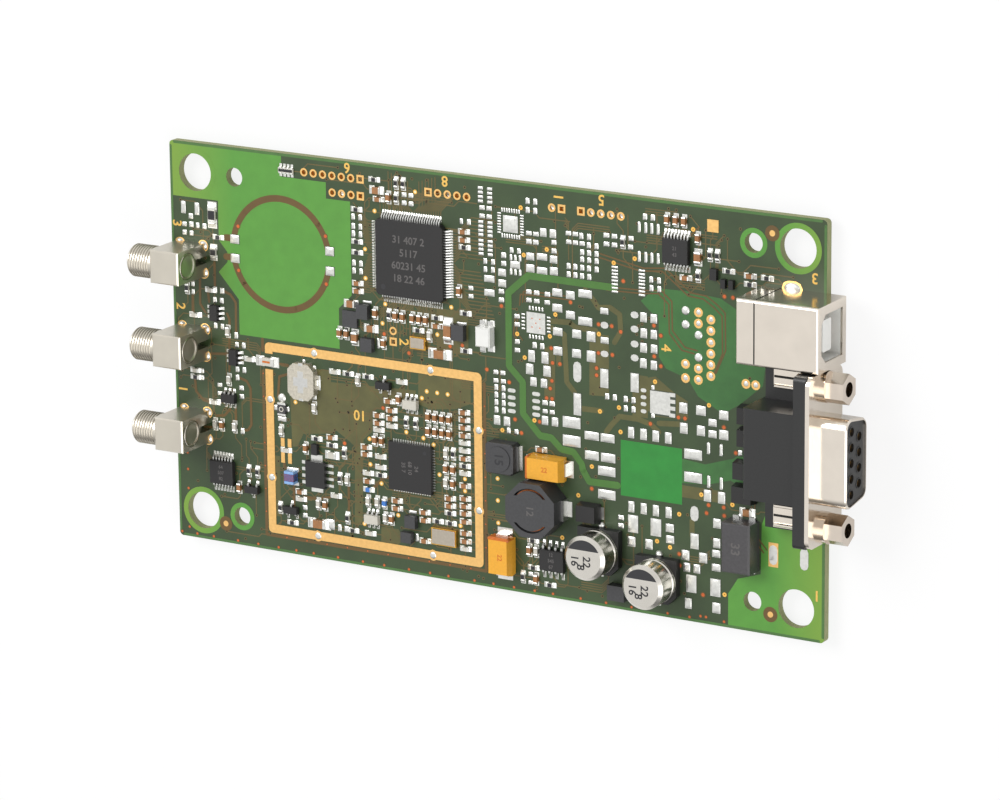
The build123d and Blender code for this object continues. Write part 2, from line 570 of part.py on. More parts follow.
housing_len = usb_length - 2 * usb_wall
housing_front_x = usb_front_x - usb_wall
with BuildPart() as usb_housing:
    with Locations((usb_mid_x, usb_y, top + (usb_height - usb_wall) / 2)):
        Box(housing_len, usb_width - 2 * usb_wall, usb_height - usb_wall)
    with BuildSketch(Plane(origin=(housing_front_x, usb_y, usb_mid_z), x_dir=(0, 1, 0), z_dir=(1, 0, 0))):
        with BuildLine():
            w = usb_open_width / 2
            h = usb_open_height / 2
            c = usb_open_chamfer
            Polyline((-w, -h), (w, -h), (w, h - c), (w - c, h), (c - w, h), (-w, h - c), close=True)
        make_face()
        RectangleRounded(usb_tongue_width, usb_tongue_height, 0.4, mode=Mode.SUBTRACT)
    extrude(amount=-usb_open_depth, mode=Mode.SUBTRACT)
    with Locations((housing_front_x, usb_y, usb_mid_z)):
        Box(1.2, usb_tongue_width + 0.2, usb_tongue_height + 0.2, mode=Mode.SUBTRACT)
    with Locations(*[(x, y, top) for x, y in usb_tab_spots]):
        Box(usb_tab_width + 0.4, usb_tab_t + 0.4, 1.2, mode=Mode.SUBTRACT)
usb_housing.part.label = "usb_housing"
export_step(usb_housing.part, "parts/usb_housing.step")

contact_strip_len = usb_open_depth - 1.6
contact_strip_x = housing_front_x - usb_open_depth + contact_strip_len / 2
with BuildPart() as usb_contacts:
    for sz in (-1, 1):
        for sy in (-1, 1):
            lift = sz * (usb_tongue_height / 2 + usb_contact_t / 2)
            with Locations((contact_strip_x, usb_y + sy * usb_pin_y, usb_mid_z + lift)):
                Box(contact_strip_len, usb_contact_width, usb_contact_t)
    for x, y in usb_pin_spots:
        with Locations((x, y, -tail_drop)):
            Box(usb_pin, usb_pin, board_t + tail_drop, align=(Align.CENTER, Align.CENTER, Align.MIN))
usb_contacts.part.label = "usb_contacts"
export_step(usb_contacts.part, "parts/usb_contacts.step")

dsub_z = top + dsub_axis_h
flange_back_x = dsub_flange_x - dsub_flange_t
plate_back_x = flange_back_x - dsub_plate_t
with BuildPart() as dsub_housing:
    with Locations(((dsub_housing_back_x + plate_back_x) / 2, dsub_y, top + dsub_housing_h / 2)):
        Box(plate_back_x - dsub_housing_back_x, dsub_housing_width, dsub_housing_h)
    fillet(dsub_housing.faces().sort_by(Axis.Z)[-1].edges().sort_by(Axis.X)[0], 0.6)
    for side in (-1, 1):
        ear_mid = dsub_y + side * (dsub_housing_width / 2 + dsub_ear_end) / 2
        ear_len = dsub_ear_end - dsub_housing_width / 2
        with Locations(((dsub_ear_back_x + plate_back_x) / 2, ear_mid, top + dsub_ear_h / 2)):
            Box(plate_back_x - dsub_ear_back_x, ear_len, dsub_ear_h)
    with BuildSketch(Plane(origin=(plate_back_x, dsub_y, dsub_z), x_dir=(0, 1, 0), z_dir=(1, 0, 0))):
        RectangleRounded(dsub_flange_length, dsub_flange_height, 0.8)
        with Locations((-dsub_screw_half, 0), (dsub_screw_half, 0)):
            RegularPolygon(nut_width / 2 + curve_gap, 6, major_radius=False, mode=Mode.SUBTRACT)
    extrude(amount=dsub_plate_t)
    with Locations(*[(x, y, top + dsub_ear_h) for x, y in dsub_lock_spots]):
        Hole(dsub_lock_d / 2 + 0.1, dsub_ear_h + 0.1)
    with Locations(*[(x, y, top) for x, y in dsub_pin_spots]):
        Box(dsub_pin + 0.2, dsub_pin + 0.2, 2.0, mode=Mode.SUBTRACT)
dsub_housing.part.label = "dsub_housing"
export_step(dsub_housing.part, "parts/dsub_housing.step")


def d_points(grow):
    # corners of the tapered outline, grown outward by the given amount
    wide = dsub_shell_wide / 2 + grow
    narrow = dsub_shell_narrow / 2 + grow
    half = dsub_shell_height / 2 + grow
    return ((-narrow, -half), (narrow, -half), (wide, half), (-wide, half))


flange_plane = Plane(origin=(flange_back_x, dsub_y, dsub_z), x_dir=(0, 1, 0), z_dir=(1, 0, 0))
with BuildPart() as dsub_flange:
    with BuildSketch(flange_plane):
        RectangleRounded(dsub_flange_length, dsub_flange_height, dsub_flange_r)
    extrude(amount=dsub_flange_t)
    with BuildSketch(flange_plane.offset(dsub_flange_t)) as shell_outer:
        with BuildLine():
            Polyline(*d_points(0), close=True)
        make_face()
        fillet(shell_outer.vertices(), dsub_shell_r)
    extrude(amount=dsub_shell_len)
    shell_rim = dsub_flange.faces().sort_by(Axis.X)[-1].edges()
    chamfer(shell_rim, 0.25)
    with BuildSketch(flange_plane) as shell_inner:
        with BuildLine():
            Polyline(*d_points(-dsub_shell_t), close=True)
        make_face()
        fillet(shell_inner.vertices(), dsub_shell_r - dsub_shell_t)
    extrude(amount=dsub_flange_t + dsub_shell_len, mode=Mode.SUBTRACT)
    with BuildSketch(flange_plane):
        with Locations((-dsub_screw_half, 0), (dsub_screw_half, 0)):
            Circle(flange_hole_d / 2)
    extrude(amount=dsub_flange_t, mode=Mode.SUBTRACT)
dsub_flange.part.label = "dsub_flange_shell"
export_step(dsub_flange.part, "parts/dsub_flange_shell.step")

insert_len = dsub_flange_t + dsub_shell_len - 0.3
long_row = [((i - 2) * dsub_contact_pitch, dsub_row_pitch / 2) for i in range(5)]
short_row = [((i - 1.5) * dsub_contact_pitch, -dsub_row_pitch / 2) for i in range(4)]
contact_marks = long_row + short_row
with BuildPart() as dsub_insert:
    with BuildSketch(flange_plane) as insert_outline:
        with BuildLine():
            Polyline(*d_points(-dsub_shell_t - curve_gap), close=True)
        make_face()
        fillet(insert_outline.vertices(), dsub_shell_r - dsub_shell_t - curve_gap)
    extrude(amount=insert_len)
    with BuildSketch(flange_plane.offset(insert_len)):
        with Locations(*contact_marks):
            RegularPolygon(dsub_contact_d / 2 + curve_gap, contact_sides)
    extrude(amount=-dsub_contact_len - dsub_contact_recess, mode=Mode.SUBTRACT)
dsub_insert.part.label = "dsub_insert"
export_step(dsub_insert.part, "parts/dsub_insert.step")

with BuildPart() as dsub_contacts:
    contact_start = insert_len - dsub_contact_len - dsub_contact_recess
    with BuildSketch(flange_plane.offset(contact_start)):
        with Locations(*contact_marks):
            RegularPolygon(dsub_contact_d / 2, contact_sides)
            RegularPolygon(dsub_contact_bore_d / 2, contact_sides, mode=Mode.SUBTRACT)
    extrude(amount=dsub_contact_len)
    for x, y in dsub_pin_spots:
        with Locations((x, y, -tail_drop)):
            Box(dsub_pin, dsub_pin, board_t + tail_drop + 1.0,
                align=(Align.CENTER, Align.CENTER, Align.MIN))
dsub_contacts.part.label = "dsub_contacts"
export_step(dsub_contacts.part, "parts/dsub_contacts.step")

bracket_len = plate_back_x - dsub_ear_back_x - bracket_setback
with BuildPart() as dsub_brackets:
    for x, y in dsub_lock_spots:
        with Locations((plate_back_x - bracket_len / 2, y, top + dsub_ear_h + bracket_t / 2)):
            Box(bracket_len, bracket_width, bracket_t)
        with Locations((plate_back_x - bracket_t / 2, y, top + dsub_ear_h + bracket_t + 2.6)):
            Box(bracket_t, bracket_width, 5.2)
        with BuildSketch(Plane(origin=(x, y, -tail_drop))):
            Circle(dsub_lock_d / 2)
            Rectangle(0.7, dsub_lock_d, mode=Mode.SUBTRACT)
        extrude(amount=tail_drop + top + dsub_ear_h)
        nut_plane = Plane(origin=(flange_back_x - nut_len, y, dsub_z), x_dir=(0, 1, 0), z_dir=(1, 0, 0))
        with BuildSketch(nut_plane):
            RegularPolygon(nut_width / 2, 6, major_radius=False)
        extrude(amount=nut_len)
        with BuildSketch(nut_plane):
            Circle(jackscrew_bore_d / 2)
        extrude(amount=nut_len, mode=Mode.SUBTRACT)
dsub_brackets.part.label = "dsub_brackets"
export_step(dsub_brackets.part, "parts/dsub_brackets.step")

for place, side in (("upper", 1), ("lower", -1)):
    screw_y = dsub_y + side * dsub_screw_half
    with BuildPart() as jackscrew:
        with BuildSketch(Plane(origin=(dsub_flange_x, screw_y, dsub_z), z_dir=(1, 0, 0))):
            Circle(jackscrew_collar_d / 2)
        extrude(amount=jackscrew_collar_len)
        with BuildSketch(Plane(origin=(dsub_flange_x + jackscrew_collar_len, screw_y, dsub_z),
                               x_dir=(0, 1, 0), z_dir=(1, 0, 0))):
            RegularPolygon(jackscrew_hex / 2, 6, major_radius=False)
        extrude(amount=jackscrew_len - jackscrew_collar_len)
        with BuildSketch(Plane(origin=(dsub_flange_x + jackscrew_len, screw_y, dsub_z), z_dir=(-1, 0, 0))):
            Circle(jackscrew_bore_d / 2)
        extrude(amount=jackscrew_bore_len, mode=Mode.SUBTRACT)
    jackscrew.part.label = f"jackscrew_{place}"
    export_step(jackscrew.part, f"parts/jackscrew_{place}.step")

with BuildPart() as coil_core:
    with BuildSketch(Plane.XY.offset(top)) as octagon:
        with Locations((coil_x, coil_y)):
            Rectangle(coil_size, coil_size)
        chamfer(octagon.vertices(), coil_corner)
    extrude(amount=coil_h)
    with BuildSketch(Plane.XY.offset(top + coil_h)):
        with Locations((coil_x, coil_y)):
            Circle(coil_groove_r + coil_groove_w / 2)
            Circle(coil_groove_r - coil_groove_w / 2, mode=Mode.SUBTRACT)
            Rectangle(coil_size, coil_groove_gap, mode=Mode.SUBTRACT)
    extrude(amount=-coil_groove_depth, mode=Mode.SUBTRACT)
coil_core.part.label = "power_inductor_core"
export_step(coil_core.part, "parts/power_inductor_core.step")

with BuildPart() as block_coil:
    with BuildSketch(Plane.XY.offset(top)):
        with Locations((block_coil_x, block_coil_y)):
            Rectangle(block_coil_size, block_coil_size)
    extrude(amount=block_coil_h)
    chamfer(block_coil.edges().filter_by(Axis.Z), block_coil_chamfer)
    chamfer(block_coil.faces().sort_by(Axis.Z)[-1].edges(), block_coil_chamfer / 2)
    with BuildSketch(Plane.XY.offset(top + block_coil_h)):
        with Locations((block_coil_x, block_coil_y)):
            Circle(block_coil_boss_d / 2)
    extrude(amount=block_coil_boss_t)
block_coil.part.label = "block_inductor_body"
export_step(block_coil.part, "parts/block_inductor_body.step")

with BuildPart() as choke:
    with Locations((choke_x, choke_y, top + choke_h / 2)):
        Box(choke_width, choke_length, choke_h)
    chamfer(choke.faces().sort_by(Axis.Z)[-1].edges(), 0.3)
choke.part.label = "choke_body"
export_step(choke.part, "parts/choke_body.step")

with BuildPart() as coil_terminals:
    for side in (-1, 1):
        x = coil_x + side * (coil_size / 2 + coil_terminal_t / 2)
        with Locations((x, coil_y, top + 0.9)):
            Box(coil_terminal_t, coil_terminal_w, 1.8)
        with Locations((x + side * 0.6, coil_y, top + pad_t / 2)):
            Box(1.2 - coil_terminal_t, coil_terminal_w - 1.0, pad_t)
        with Locations((block_coil_x + side * (block_coil_size / 2 + 0.15), block_coil_y, top + 0.5)):
            Box(0.3, block_coil_size - 1.2, 1.0)
        with Locations((block_coil_x + side * (block_coil_size / 2 + 0.45), block_coil_y, top + pad_t / 2)):
            Box(0.3, block_coil_size - 1.2, pad_t)
        for sx in (-1, 1):
            with Locations((choke_x + sx * 1.6, choke_y + side * (choke_length / 2 + 0.3), top + 0.2)):
                Box(1.2, 0.6, 0.4)
coil_terminals.part.label = "inductor_terminals"
export_step(coil_terminals.part, "parts/inductor_terminals.step")

for number, spot in enumerate(tantalum_spots, start=1):
    with BuildPart() as tantalum:
        with BuildSketch(Plane(raised(spot, 0.1))):
            Rectangle(tantalum_length - 0.5, tantalum_width)
        with BuildSketch(Plane(raised(spot, 0.1 + tantalum_h * 0.45))):
            Rectangle(tantalum_length, tantalum_width)
        loft()
        with BuildSketch(Plane(raised(spot, 0.1 + tantalum_h * 0.45))):
            Rectangle(tantalum_length, tantalum_width)
        with BuildSketch(Plane(raised(spot, tantalum_h))):
            Rectangle(tantalum_length - 0.9, tantalum_width - 0.5)
        loft()
    tantalum.part.label = f"tantalum_capacitor_{number}"
    export_step(tantalum.part, f"parts/tantalum_capacitor_{number}.step")

for number, (x, y) in enumerate(can_spots, start=1):
    r = can_d / 2
    can_z = top + can_base_h
    can_top = top + can_h
    groove_z = top + can_groove_z
    with BuildPart() as can:
        with BuildSketch(Plane(origin=(x, y, 0), x_dir=(1, 0, 0), z_dir=(0, -1, 0))):
            with BuildLine():
                Polyline(
                    (0, can_z), (r, can_z), (r, groove_z), (r - can_groove_depth, groove_z + 0.25),
                    (r, groove_z + 0.5), (r, can_top - can_round), (r - can_round, can_top),
                    (0, can_top), close=True)
            make_face()
        revolve(axis=Axis((x, y, 0), (0, 0, 1)))
    can.part.label = f"electrolytic_can_{number}"
    export_step(can.part, f"parts/electrolytic_can_{number}.step")

with BuildPart() as can_bases:
    for x, y in can_spots:
        with BuildSketch(Plane.XY.offset(top)) as base_outline:
            with Locations((x, y)):
                Rectangle(can_base_size, can_base_size)
            lower_corners = base_outline.vertices().filter_by_position(
                Axis.Y, y - can_base_size / 2 - 0.1, y - can_base_size / 2 + 0.1)
            chamfer(lower_corners, can_base_chamfer)
        extrude(amount=can_base_h)
can_bases.part.label = "electrolytic_bases"
export_step(can_bases.part, "parts/electrolytic_bases.step")

with BuildPart() as capacitor_terminals:
    for spot in tantalum_spots:
        with Locations(turned(spot)):
            for s in (-1, 1):
                with Locations((s * (tantalum_length / 2 + tantalum_terminal_t / 2), 0, top + 0.7)):
                    Box(tantalum_terminal_t, tantalum_terminal_w, 1.2)
                with Locations((s * (tantalum_length / 2 + 0.35), 0, top + 0.05)):
                    Box(1.7, tantalum_terminal_w + 0.7, 0.1)
    for x, y in can_spots:
        for sy in (-1, 1):
            reach = can_base_size / 2 + can_terminal_out / 2
            with Locations((x, y + sy * reach, top + can_terminal_t / 2)):
                Box(can_terminal_w, can_terminal_out, can_terminal_t)
capacitor_terminals.part.label = "capacitor_terminals"
export_step(capacitor_terminals.part, "parts/capacitor_terminals.step")

with BuildPart() as diodes:
    for x, y in diode_spots:
        with BuildSketch(Plane.XY.offset(top + 0.1)):
            with Locations((x, y)):
                Rectangle(diode_length, diode_width)
        extrude(amount=diode_h - 0.1, taper=6)
diodes.part.label = "diode_bodies"
export_step(diodes.part, "parts/diode_bodies.step")

with BuildPart() as diode_terminals:
    for x, y in diode_spots:
        for sx in (-1, 1):
            with Locations((x + sx * (diode_length / 2 + diode_terminal_out / 2 - 0.35), y, top + 0.05)):
                Box(diode_terminal_out + 0.7, diode_terminal_w, 0.1)
diode_terminals.part.label = "diode_terminals"
export_step(diode_terminals.part, "parts/diode_terminals.step")

with BuildPart() as mcu:
    with BuildSketch(Plane.XY.offset(top + mcu_standoff)) as mcu_outline:
        with Locations((mcu_x, mcu_y)):
            Rectangle(mcu_body, mcu_body)
        chamfer(mcu_outline.vertices(), 0.5)
    extrude(amount=mcu_h - mcu_standoff)
    chamfer(mcu.faces().sort_by(Axis.Z)[-1].edges(), 0.15)
mcu.part.label = "microcontroller_body"
export_step(mcu.part, "parts/microcontroller_body.step")


def lead_points(reach, shoulder):
    # side outline of one bent lead, starting at the package wall
    return (
        (0, shoulder), (0, shoulder + lead_t), (reach * 0.4, shoulder + lead_t),
        (reach, lead_t), (reach, 0), (reach * 0.5, 0))


def lead_places(spot, turn, wall, offsets):
    # places of one row of leads along the package wall that faces the turned +X direction
    row = Location((spot[0], spot[1], top), (0, 0, turn))
    return [row * Location((wall, step, 0)) for step in offsets]


def centred(count, pitch):
    return [(i - (count - 1) / 2) * pitch for i in range(count)]


lead_plane = Plane.XZ
mcu_reach = (mcu_span - mcu_body) / 2
with BuildPart() as mcu_lead:
    with BuildSketch(lead_plane):
        with BuildLine():
            Polyline(*lead_points(mcu_reach, 0.6), close=True)
        make_face()
    extrude(amount=mcu_lead_w / 2, both=True)
mcu_places = []
for turn in (0, 90, 180, 270):
    mcu_places += lead_places((mcu_x, mcu_y), turn, mcu_body / 2, centred(mcu_lead_count, mcu_pitch))
with BuildPart() as mcu_leads:
    with Locations(*mcu_places):
        add(mcu_lead.part)
mcu_leads.part.label = "microcontroller_leads"
export_step(mcu_leads.part, "parts/microcontroller_leads.step")

with BuildPart() as radio:
    with Locations((radio_x, radio_y, top + radio_h / 2)):
        Box(radio_body, radio_body, radio_h)
radio.part.label = "radio_chip"
export_step(radio.part, "parts/radio_chip.step")

for name, spot, length, width in (
        ("interface_chip_body", soic_spot, soic_length, soic_width),
        ("buffer_chip_body", tssop14_spot, tssop_length, tssop_width),
        ("logic_chip_body", tssop16_spot, tssop_length, tssop_width)):
    with BuildPart() as chip_body:
        with Locations((spot[0], spot[1], top + (ic_h + ic_standoff) / 2)):
            Box(length, width, ic_h - ic_standoff)
        chamfer(chip_body.faces().sort_by(Axis.Z)[-1].edges(), 0.12)
    chip_body.part.label = name
    export_step(chip_body.part, f"parts/{name}.step")


with BuildPart() as wide_lead:
    with BuildSketch(lead_plane):
        with BuildLine():
            Polyline(*lead_points((soic_span - soic_width) / 2, 0.5), close=True)
        make_face()
    extrude(amount=0.21, both=True)
with BuildPart() as narrow_lead:
    with BuildSketch(lead_plane):
        with BuildLine():
            Polyline(*lead_points((tssop_span - tssop_width) / 2, 0.5), close=True)
        make_face()
    extrude(amount=0.14, both=True)
wide_places = []
narrow_places = []
for turn in (90, 270):
    wide_places += lead_places(soic_spot, turn, soic_width / 2, centred(4, soic_pitch))
    narrow_places += lead_places(tssop14_spot, turn, tssop_width / 2, centred(7, tssop_pitch))
    narrow_places += lead_places(tssop16_spot, turn, tssop_width / 2, centred(8, tssop_pitch))
with BuildPart() as chip_leads:
    with Locations(*wide_places):
        add(wide_lead.part)
    with Locations(*narrow_places):
        add(narrow_lead.part)
chip_leads.part.label = "chip_leads"
export_step(chip_leads.part, "parts/chip_leads.step")

for name, spots, width in (
        ("switch_bodies", switch_spots, sot_width),
        ("white_chip_bodies", white_ic_spots, sot_width),
        ("transistor_bodies", transistor_spots, transistor_width)):
    with BuildPart() as sot_bodies:
        for spot in spots:
            with Locations(raised(spot, (sot_h + ic_standoff) / 2)):
                Box(sot_length, width, sot_h - ic_standoff)
        if name == "transistor_bodies":
            for x, y, w, l in tiny_chips:
                with Locations((x, y, top + tiny_chip_h / 2)):
                    Box(w, l, tiny_chip_h)
    sot_bodies.part.label = name
    export_step(sot_bodies.part, f"parts/{name}.step")

with BuildPart() as sot_lead:
    with BuildSketch(lead_plane):
        with BuildLine():
            Polyline(*lead_points((sot_span - sot_width) / 2, 0.45), close=True)
        make_face()
    extrude(amount=0.2, both=True)
sot_places = []
for x, y, turn in switch_spots + white_ic_spots:
    for side in (90, 270):
        sot_places += lead_places((x, y), turn + side, sot_width / 2, centred(3, sot_pitch))
for x, y, turn in transistor_spots:
    sot_places += lead_places((x, y), turn + 90, transistor_width / 2, (0.0,))
    sot_places += lead_places((x, y), turn + 270, transistor_width / 2, (-sot_pitch, sot_pitch))
with BuildPart() as sot_leads:
    with Locations(*sot_places):
        add(sot_lead.part)
    for sx in (-1, 1):
        for sy in (-1, 1):
            with Locations((lamp_x + sx * 0.8, lamp_y + sy * (lamp_l / 2 + 0.5), top + 0.15)):
                Box(1.0, 1.0, 0.3)
sot_leads.part.label = "small_package_leads"
export_step(sot_leads.part, "parts/small_package_leads.step")

with BuildPart() as power_ic:
    with Locations((power_ic_x, power_ic_y, top + (power_ic_h + power_slug_t) / 2)):
        Box(power_ic_w, power_ic_l, power_ic_h - power_slug_t)
power_ic.part.label = "power_chip_body"
export_step(power_ic.part, "parts/power_chip_body.step")

with BuildPart() as power_metal:
    with Locations((power_ic_x, power_ic_y + 0.1, top + power_slug_t / 2)):
        Box(power_slug_w, power_slug_l, power_slug_t)
    for y in centred(4, soic_pitch):
        with Locations((power_ic_x + 2.6, power_ic_y + y, top + power_slug_t / 2)):
            Box(2.0, 0.5, power_slug_t)
        with Locations((power_ic_x - 2.5, power_ic_y + y, top + power_slug_t / 2)):
            Box(1.5, 0.6, power_slug_t)
power_metal.part.label = "power_chip_metal"
export_step(power_metal.part, "parts/power_chip_metal.step")

with BuildPart() as duplexer:
    with BuildSketch(Plane.XY.offset(top)) as duplexer_outline:
        with Locations((duplexer_x, duplexer_y)):
            Rectangle(duplexer_w, duplexer_l)
        chamfer(duplexer_outline.vertices(), duplexer_corner)
    extrude(amount=duplexer_h)
duplexer.part.label = "circulator_body"
export_step(duplexer.part, "parts/circulator_body.step")

with BuildPart() as lamp:
    with Locations((lamp_x, lamp_y, top + lamp_h / 2)):
        Box(lamp_w, lamp_l, lamp_h)
    chamfer(lamp.faces().sort_by(Axis.Z)[-1].edges(), 0.25)
lamp.part.label = "coupler_body"
export_step(lamp.part, "parts/coupler_body.step")

with BuildPart() as crystals:
    for x, y, w, h in ((-14.3, 6.05, 3.2, 2.3), (-9.3, -29.6, 5.2, 3.2)):
        with Locations((x, y, top + 0.35)):
            Box(w, h, 0.7)
        with Locations((x, y, top + 0.775)):
            Box(w - 0.6, h - 0.6, 0.15)
crystals.part.label = "crystals"
export_step(crystals.part, "parts/crystals.step")

with BuildPart() as cubes:
    for x, y, w, l, h in cube_coils:
        with Locations((x, y, top + h / 2)):
            Box(w, l, h)
cubes.part.label = "dark_blocks"
export_step(cubes.part, "parts/dark_blocks.step")

extra_chips = {"chip_resistors": array_chip, "white_chips": filter_chip}
for name, groups, height in (
        ("chip_capacitors", ((size_0603, capacitors_0603), (size_0805, capacitors_0805),
                             (size_1206, capacitors_1206)), capacitor_h),
        ("chip_resistors", ((size_0603, resistors_0603), (size_0805, resistors_0805),
                            (size_1206, resistors_1206)), resistor_h),
        ("white_chips", ((size_0603, ceramics_0603), (size_0805, ceramics_0805)), ceramic_h),
        ("blue_chips", ((size_0603, blue_coils_0603),), ceramic_h)):
    with BuildPart() as chips:
        for size, spots in groups:
            with Locations(*[raised(spot, height / 2) for spot in spots]):
                Box(size[0], size[1], height)
        if name in extra_chips:
            x, y, w, l = extra_chips[name]
            with Locations((x, y, top + height / 2)):
                Box(w, l, height)
    chips.part.label = name
    export_step(chips.part, f"parts/{name}.step")

with BuildPart() as wound_coil:
    with Locations((blue_coil_large[0], blue_coil_large[1], top + blue_coil_large_h / 2)):
        Box(blue_coil_large_w, blue_coil_large_l, blue_coil_large_h)
wound_coil.part.label = "wound_coil"
export_step(wound_coil.part, "parts/wound_coil.step")
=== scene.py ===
import math
import random

import bpy
from bpy.props import FloatProperty, FloatVectorProperty, PointerProperty
from mathutils import Matrix, Vector


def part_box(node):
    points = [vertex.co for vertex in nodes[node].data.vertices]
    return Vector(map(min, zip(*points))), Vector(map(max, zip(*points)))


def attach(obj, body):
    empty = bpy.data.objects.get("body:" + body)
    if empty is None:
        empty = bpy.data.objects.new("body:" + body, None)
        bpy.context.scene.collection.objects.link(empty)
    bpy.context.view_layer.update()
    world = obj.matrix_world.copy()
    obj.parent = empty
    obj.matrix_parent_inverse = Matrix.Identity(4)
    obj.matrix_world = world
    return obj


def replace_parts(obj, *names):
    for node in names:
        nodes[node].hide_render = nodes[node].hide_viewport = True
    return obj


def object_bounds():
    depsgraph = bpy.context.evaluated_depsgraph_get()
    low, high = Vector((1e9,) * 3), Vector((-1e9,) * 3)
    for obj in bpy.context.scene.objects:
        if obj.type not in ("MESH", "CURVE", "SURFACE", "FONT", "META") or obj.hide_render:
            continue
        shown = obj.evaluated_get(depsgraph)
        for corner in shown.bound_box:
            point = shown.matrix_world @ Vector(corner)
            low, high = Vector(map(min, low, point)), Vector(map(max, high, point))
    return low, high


bl_info = {
    "name": "UHF RFID Reader Module",
    "version": (1, 0, 0),
    "blender": (4, 5, 0),
    "location": "View3D > Sidebar > Reader",
    "description": "Dresses a populated reader circuit board: mask, tracks, solder and parts",
    "category": "Object",
}

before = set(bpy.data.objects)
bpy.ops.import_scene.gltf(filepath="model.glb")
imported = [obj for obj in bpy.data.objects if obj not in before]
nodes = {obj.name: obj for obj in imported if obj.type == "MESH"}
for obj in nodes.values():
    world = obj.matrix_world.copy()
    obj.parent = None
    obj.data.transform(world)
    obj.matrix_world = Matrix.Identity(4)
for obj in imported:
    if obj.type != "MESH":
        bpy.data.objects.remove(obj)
cad_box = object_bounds()
MM = 0.001


def linear(code):
    """sRGB hex to the linear values that the shader wants."""
    parts = [int(code[i:i + 2], 16) / 255 for i in (0, 2, 4)]
    return tuple(c / 12.92 if c <= 0.04045 else ((c + 0.055) / 1.055) ** 2.4 for c in parts)


def node_box(name):
    """Low corner, high corner and middle of a CAD node in millimetres."""
    low, high = [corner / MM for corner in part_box(name)]
    return low, high, (low + high) / 2


board_low, board_high, _ = node_box("board")
TOP = board_high.z
BED = TOP - 0.01  # a thin layer starts this little below the top face
LEFT, RIGHT = board_low.x, board_high.x
LOWER, UPPER = board_low.y, board_high.y
HOLE_X, HOLE_Y, SMALL_HOLE_X = 62, 32.2, 53.4  # fixing holes, from the middle of the board


def colour_property(name, description, code):
    return FloatVectorProperty(name=name, description=description, default=linear(code),
                               size=3, min=0, max=1, subtype="COLOR")


def length_property(name, description, value):
    return FloatProperty(name=name, description=description, default=value * MM,
                         min=0, unit="LENGTH", subtype="DISTANCE")


class ReaderBoardColours(bpy.types.PropertyGroup):
    mask_dark: colour_property("Mask over copper", "Solder mask where copper lies under it", "334427")
    mask_light: colour_property("Mask over laminate", "Solder mask over bare laminate", "549038")
    mask_bright: colour_property("Mask over plane", "Deep green field near the power stage", "288131")
    mask_olive: colour_property("Mask over pour", "Olive copper pours under the mask", "57552f")
    track: colour_property("Track", "Copper track seen through the mask", "60542f")
    ring_track: colour_property("Ring track", "Brown copper ring under the light mask", "614a24")
    gold: colour_property("Gold", "Immersion gold on bare copper", "eec07a")
    tin: colour_property("Solder", "Tinned pads and solder joints", "d9d9d4")
    edge: colour_property("Laminate edge", "Cut edge of the glass laminate", "8e9168")


class ReaderBoardSizes(bpy.types.PropertyGroup):
    track_width: length_property("Track width", "Width of a signal track", 0.2)
    mask_step: length_property("Mask step", "Height of a masked copper field", 0.012)
    ring_radius: length_property("Ring radius", "Outer radius of the loop under the light mask", 11.0)
    ring_width: length_property("Ring width", "Width of the loop", 1.25)


# shaders

MATS = {}


def add_node(tree, kind, settings=None, links=()):
    """Adds a shader node, sets its sockets and joins (input, source node, output)."""
    made = tree.nodes.new(kind)
    for key, value in (settings or {}).items():
        if isinstance(key, str) and hasattr(made, key) and key not in made.inputs:
            setattr(made, key, value)
        else:
            made.inputs[key].default_value = value
    for socket, source, output in links:
        tree.links.new(source.outputs[output], made.inputs[socket])
    return made


def finish(key, name, colour, roughness, size, shade, metal=0.0, ior=1.5, bump=0.0, rough=None,
           stretch=(1, 1, 1)):
    """One material: a principled shader, and noise of a real grain size in millimetres that varies
    its colour and, if asked, its height and gloss. Returns its tree and shader."""
    colour = linear(colour) if isinstance(colour, str) else colour[:]
    made = bpy.data.materials.new(name)
    made.use_nodes = True
    MATS[key] = made
    tree = made.node_tree
    shader = tree.nodes["Principled BSDF"]
    shader.inputs["Base Color"].default_value = (*colour, 1)
    shader.inputs["Metallic"].default_value = metal
    shader.inputs["Roughness"].default_value = roughness
    if not metal:
        shader.inputs["IOR"].default_value = ior
    place = add_node(tree, "ShaderNodeTexCoord")
    scaled = add_node(tree, "ShaderNodeMapping", {"Scale": stretch}, [("Vector", place, "Object")])
    noise = add_node(tree, "ShaderNodeTexNoise", {"Scale": 1 / (size * MM), "Detail": 3.0},
                     [("Vector", scaled, "Vector")])
    ramp = add_node(tree, "ShaderNodeValToRGB", {}, [("Fac", noise, "Fac")])
    for stop, spot, part in zip(ramp.color_ramp.elements, (0.3, 0.7), (1 - shade, 1 + shade)):
        stop.position = spot
        stop.color = (*[min(1, c * part) for c in colour], 1)
    tree.links.new(ramp.outputs["Color"], shader.inputs["Base Color"])
    if rough:
        gloss = add_node(tree, "ShaderNodeMapRange", {"To Min": rough[0], "To Max": rough[1]},
                         [("Value", noise, "Fac")])
        tree.links.new(gloss.outputs["Result"], shader.inputs["Roughness"])
    if bump:
        relief = add_node(tree, "ShaderNodeBump", {"Strength": 0.5, "Distance": bump * MM},
                          [("Height", noise, "Fac")])
        tree.links.new(relief.outputs["Normal"], shader.inputs["Normal"])
    return tree, shader


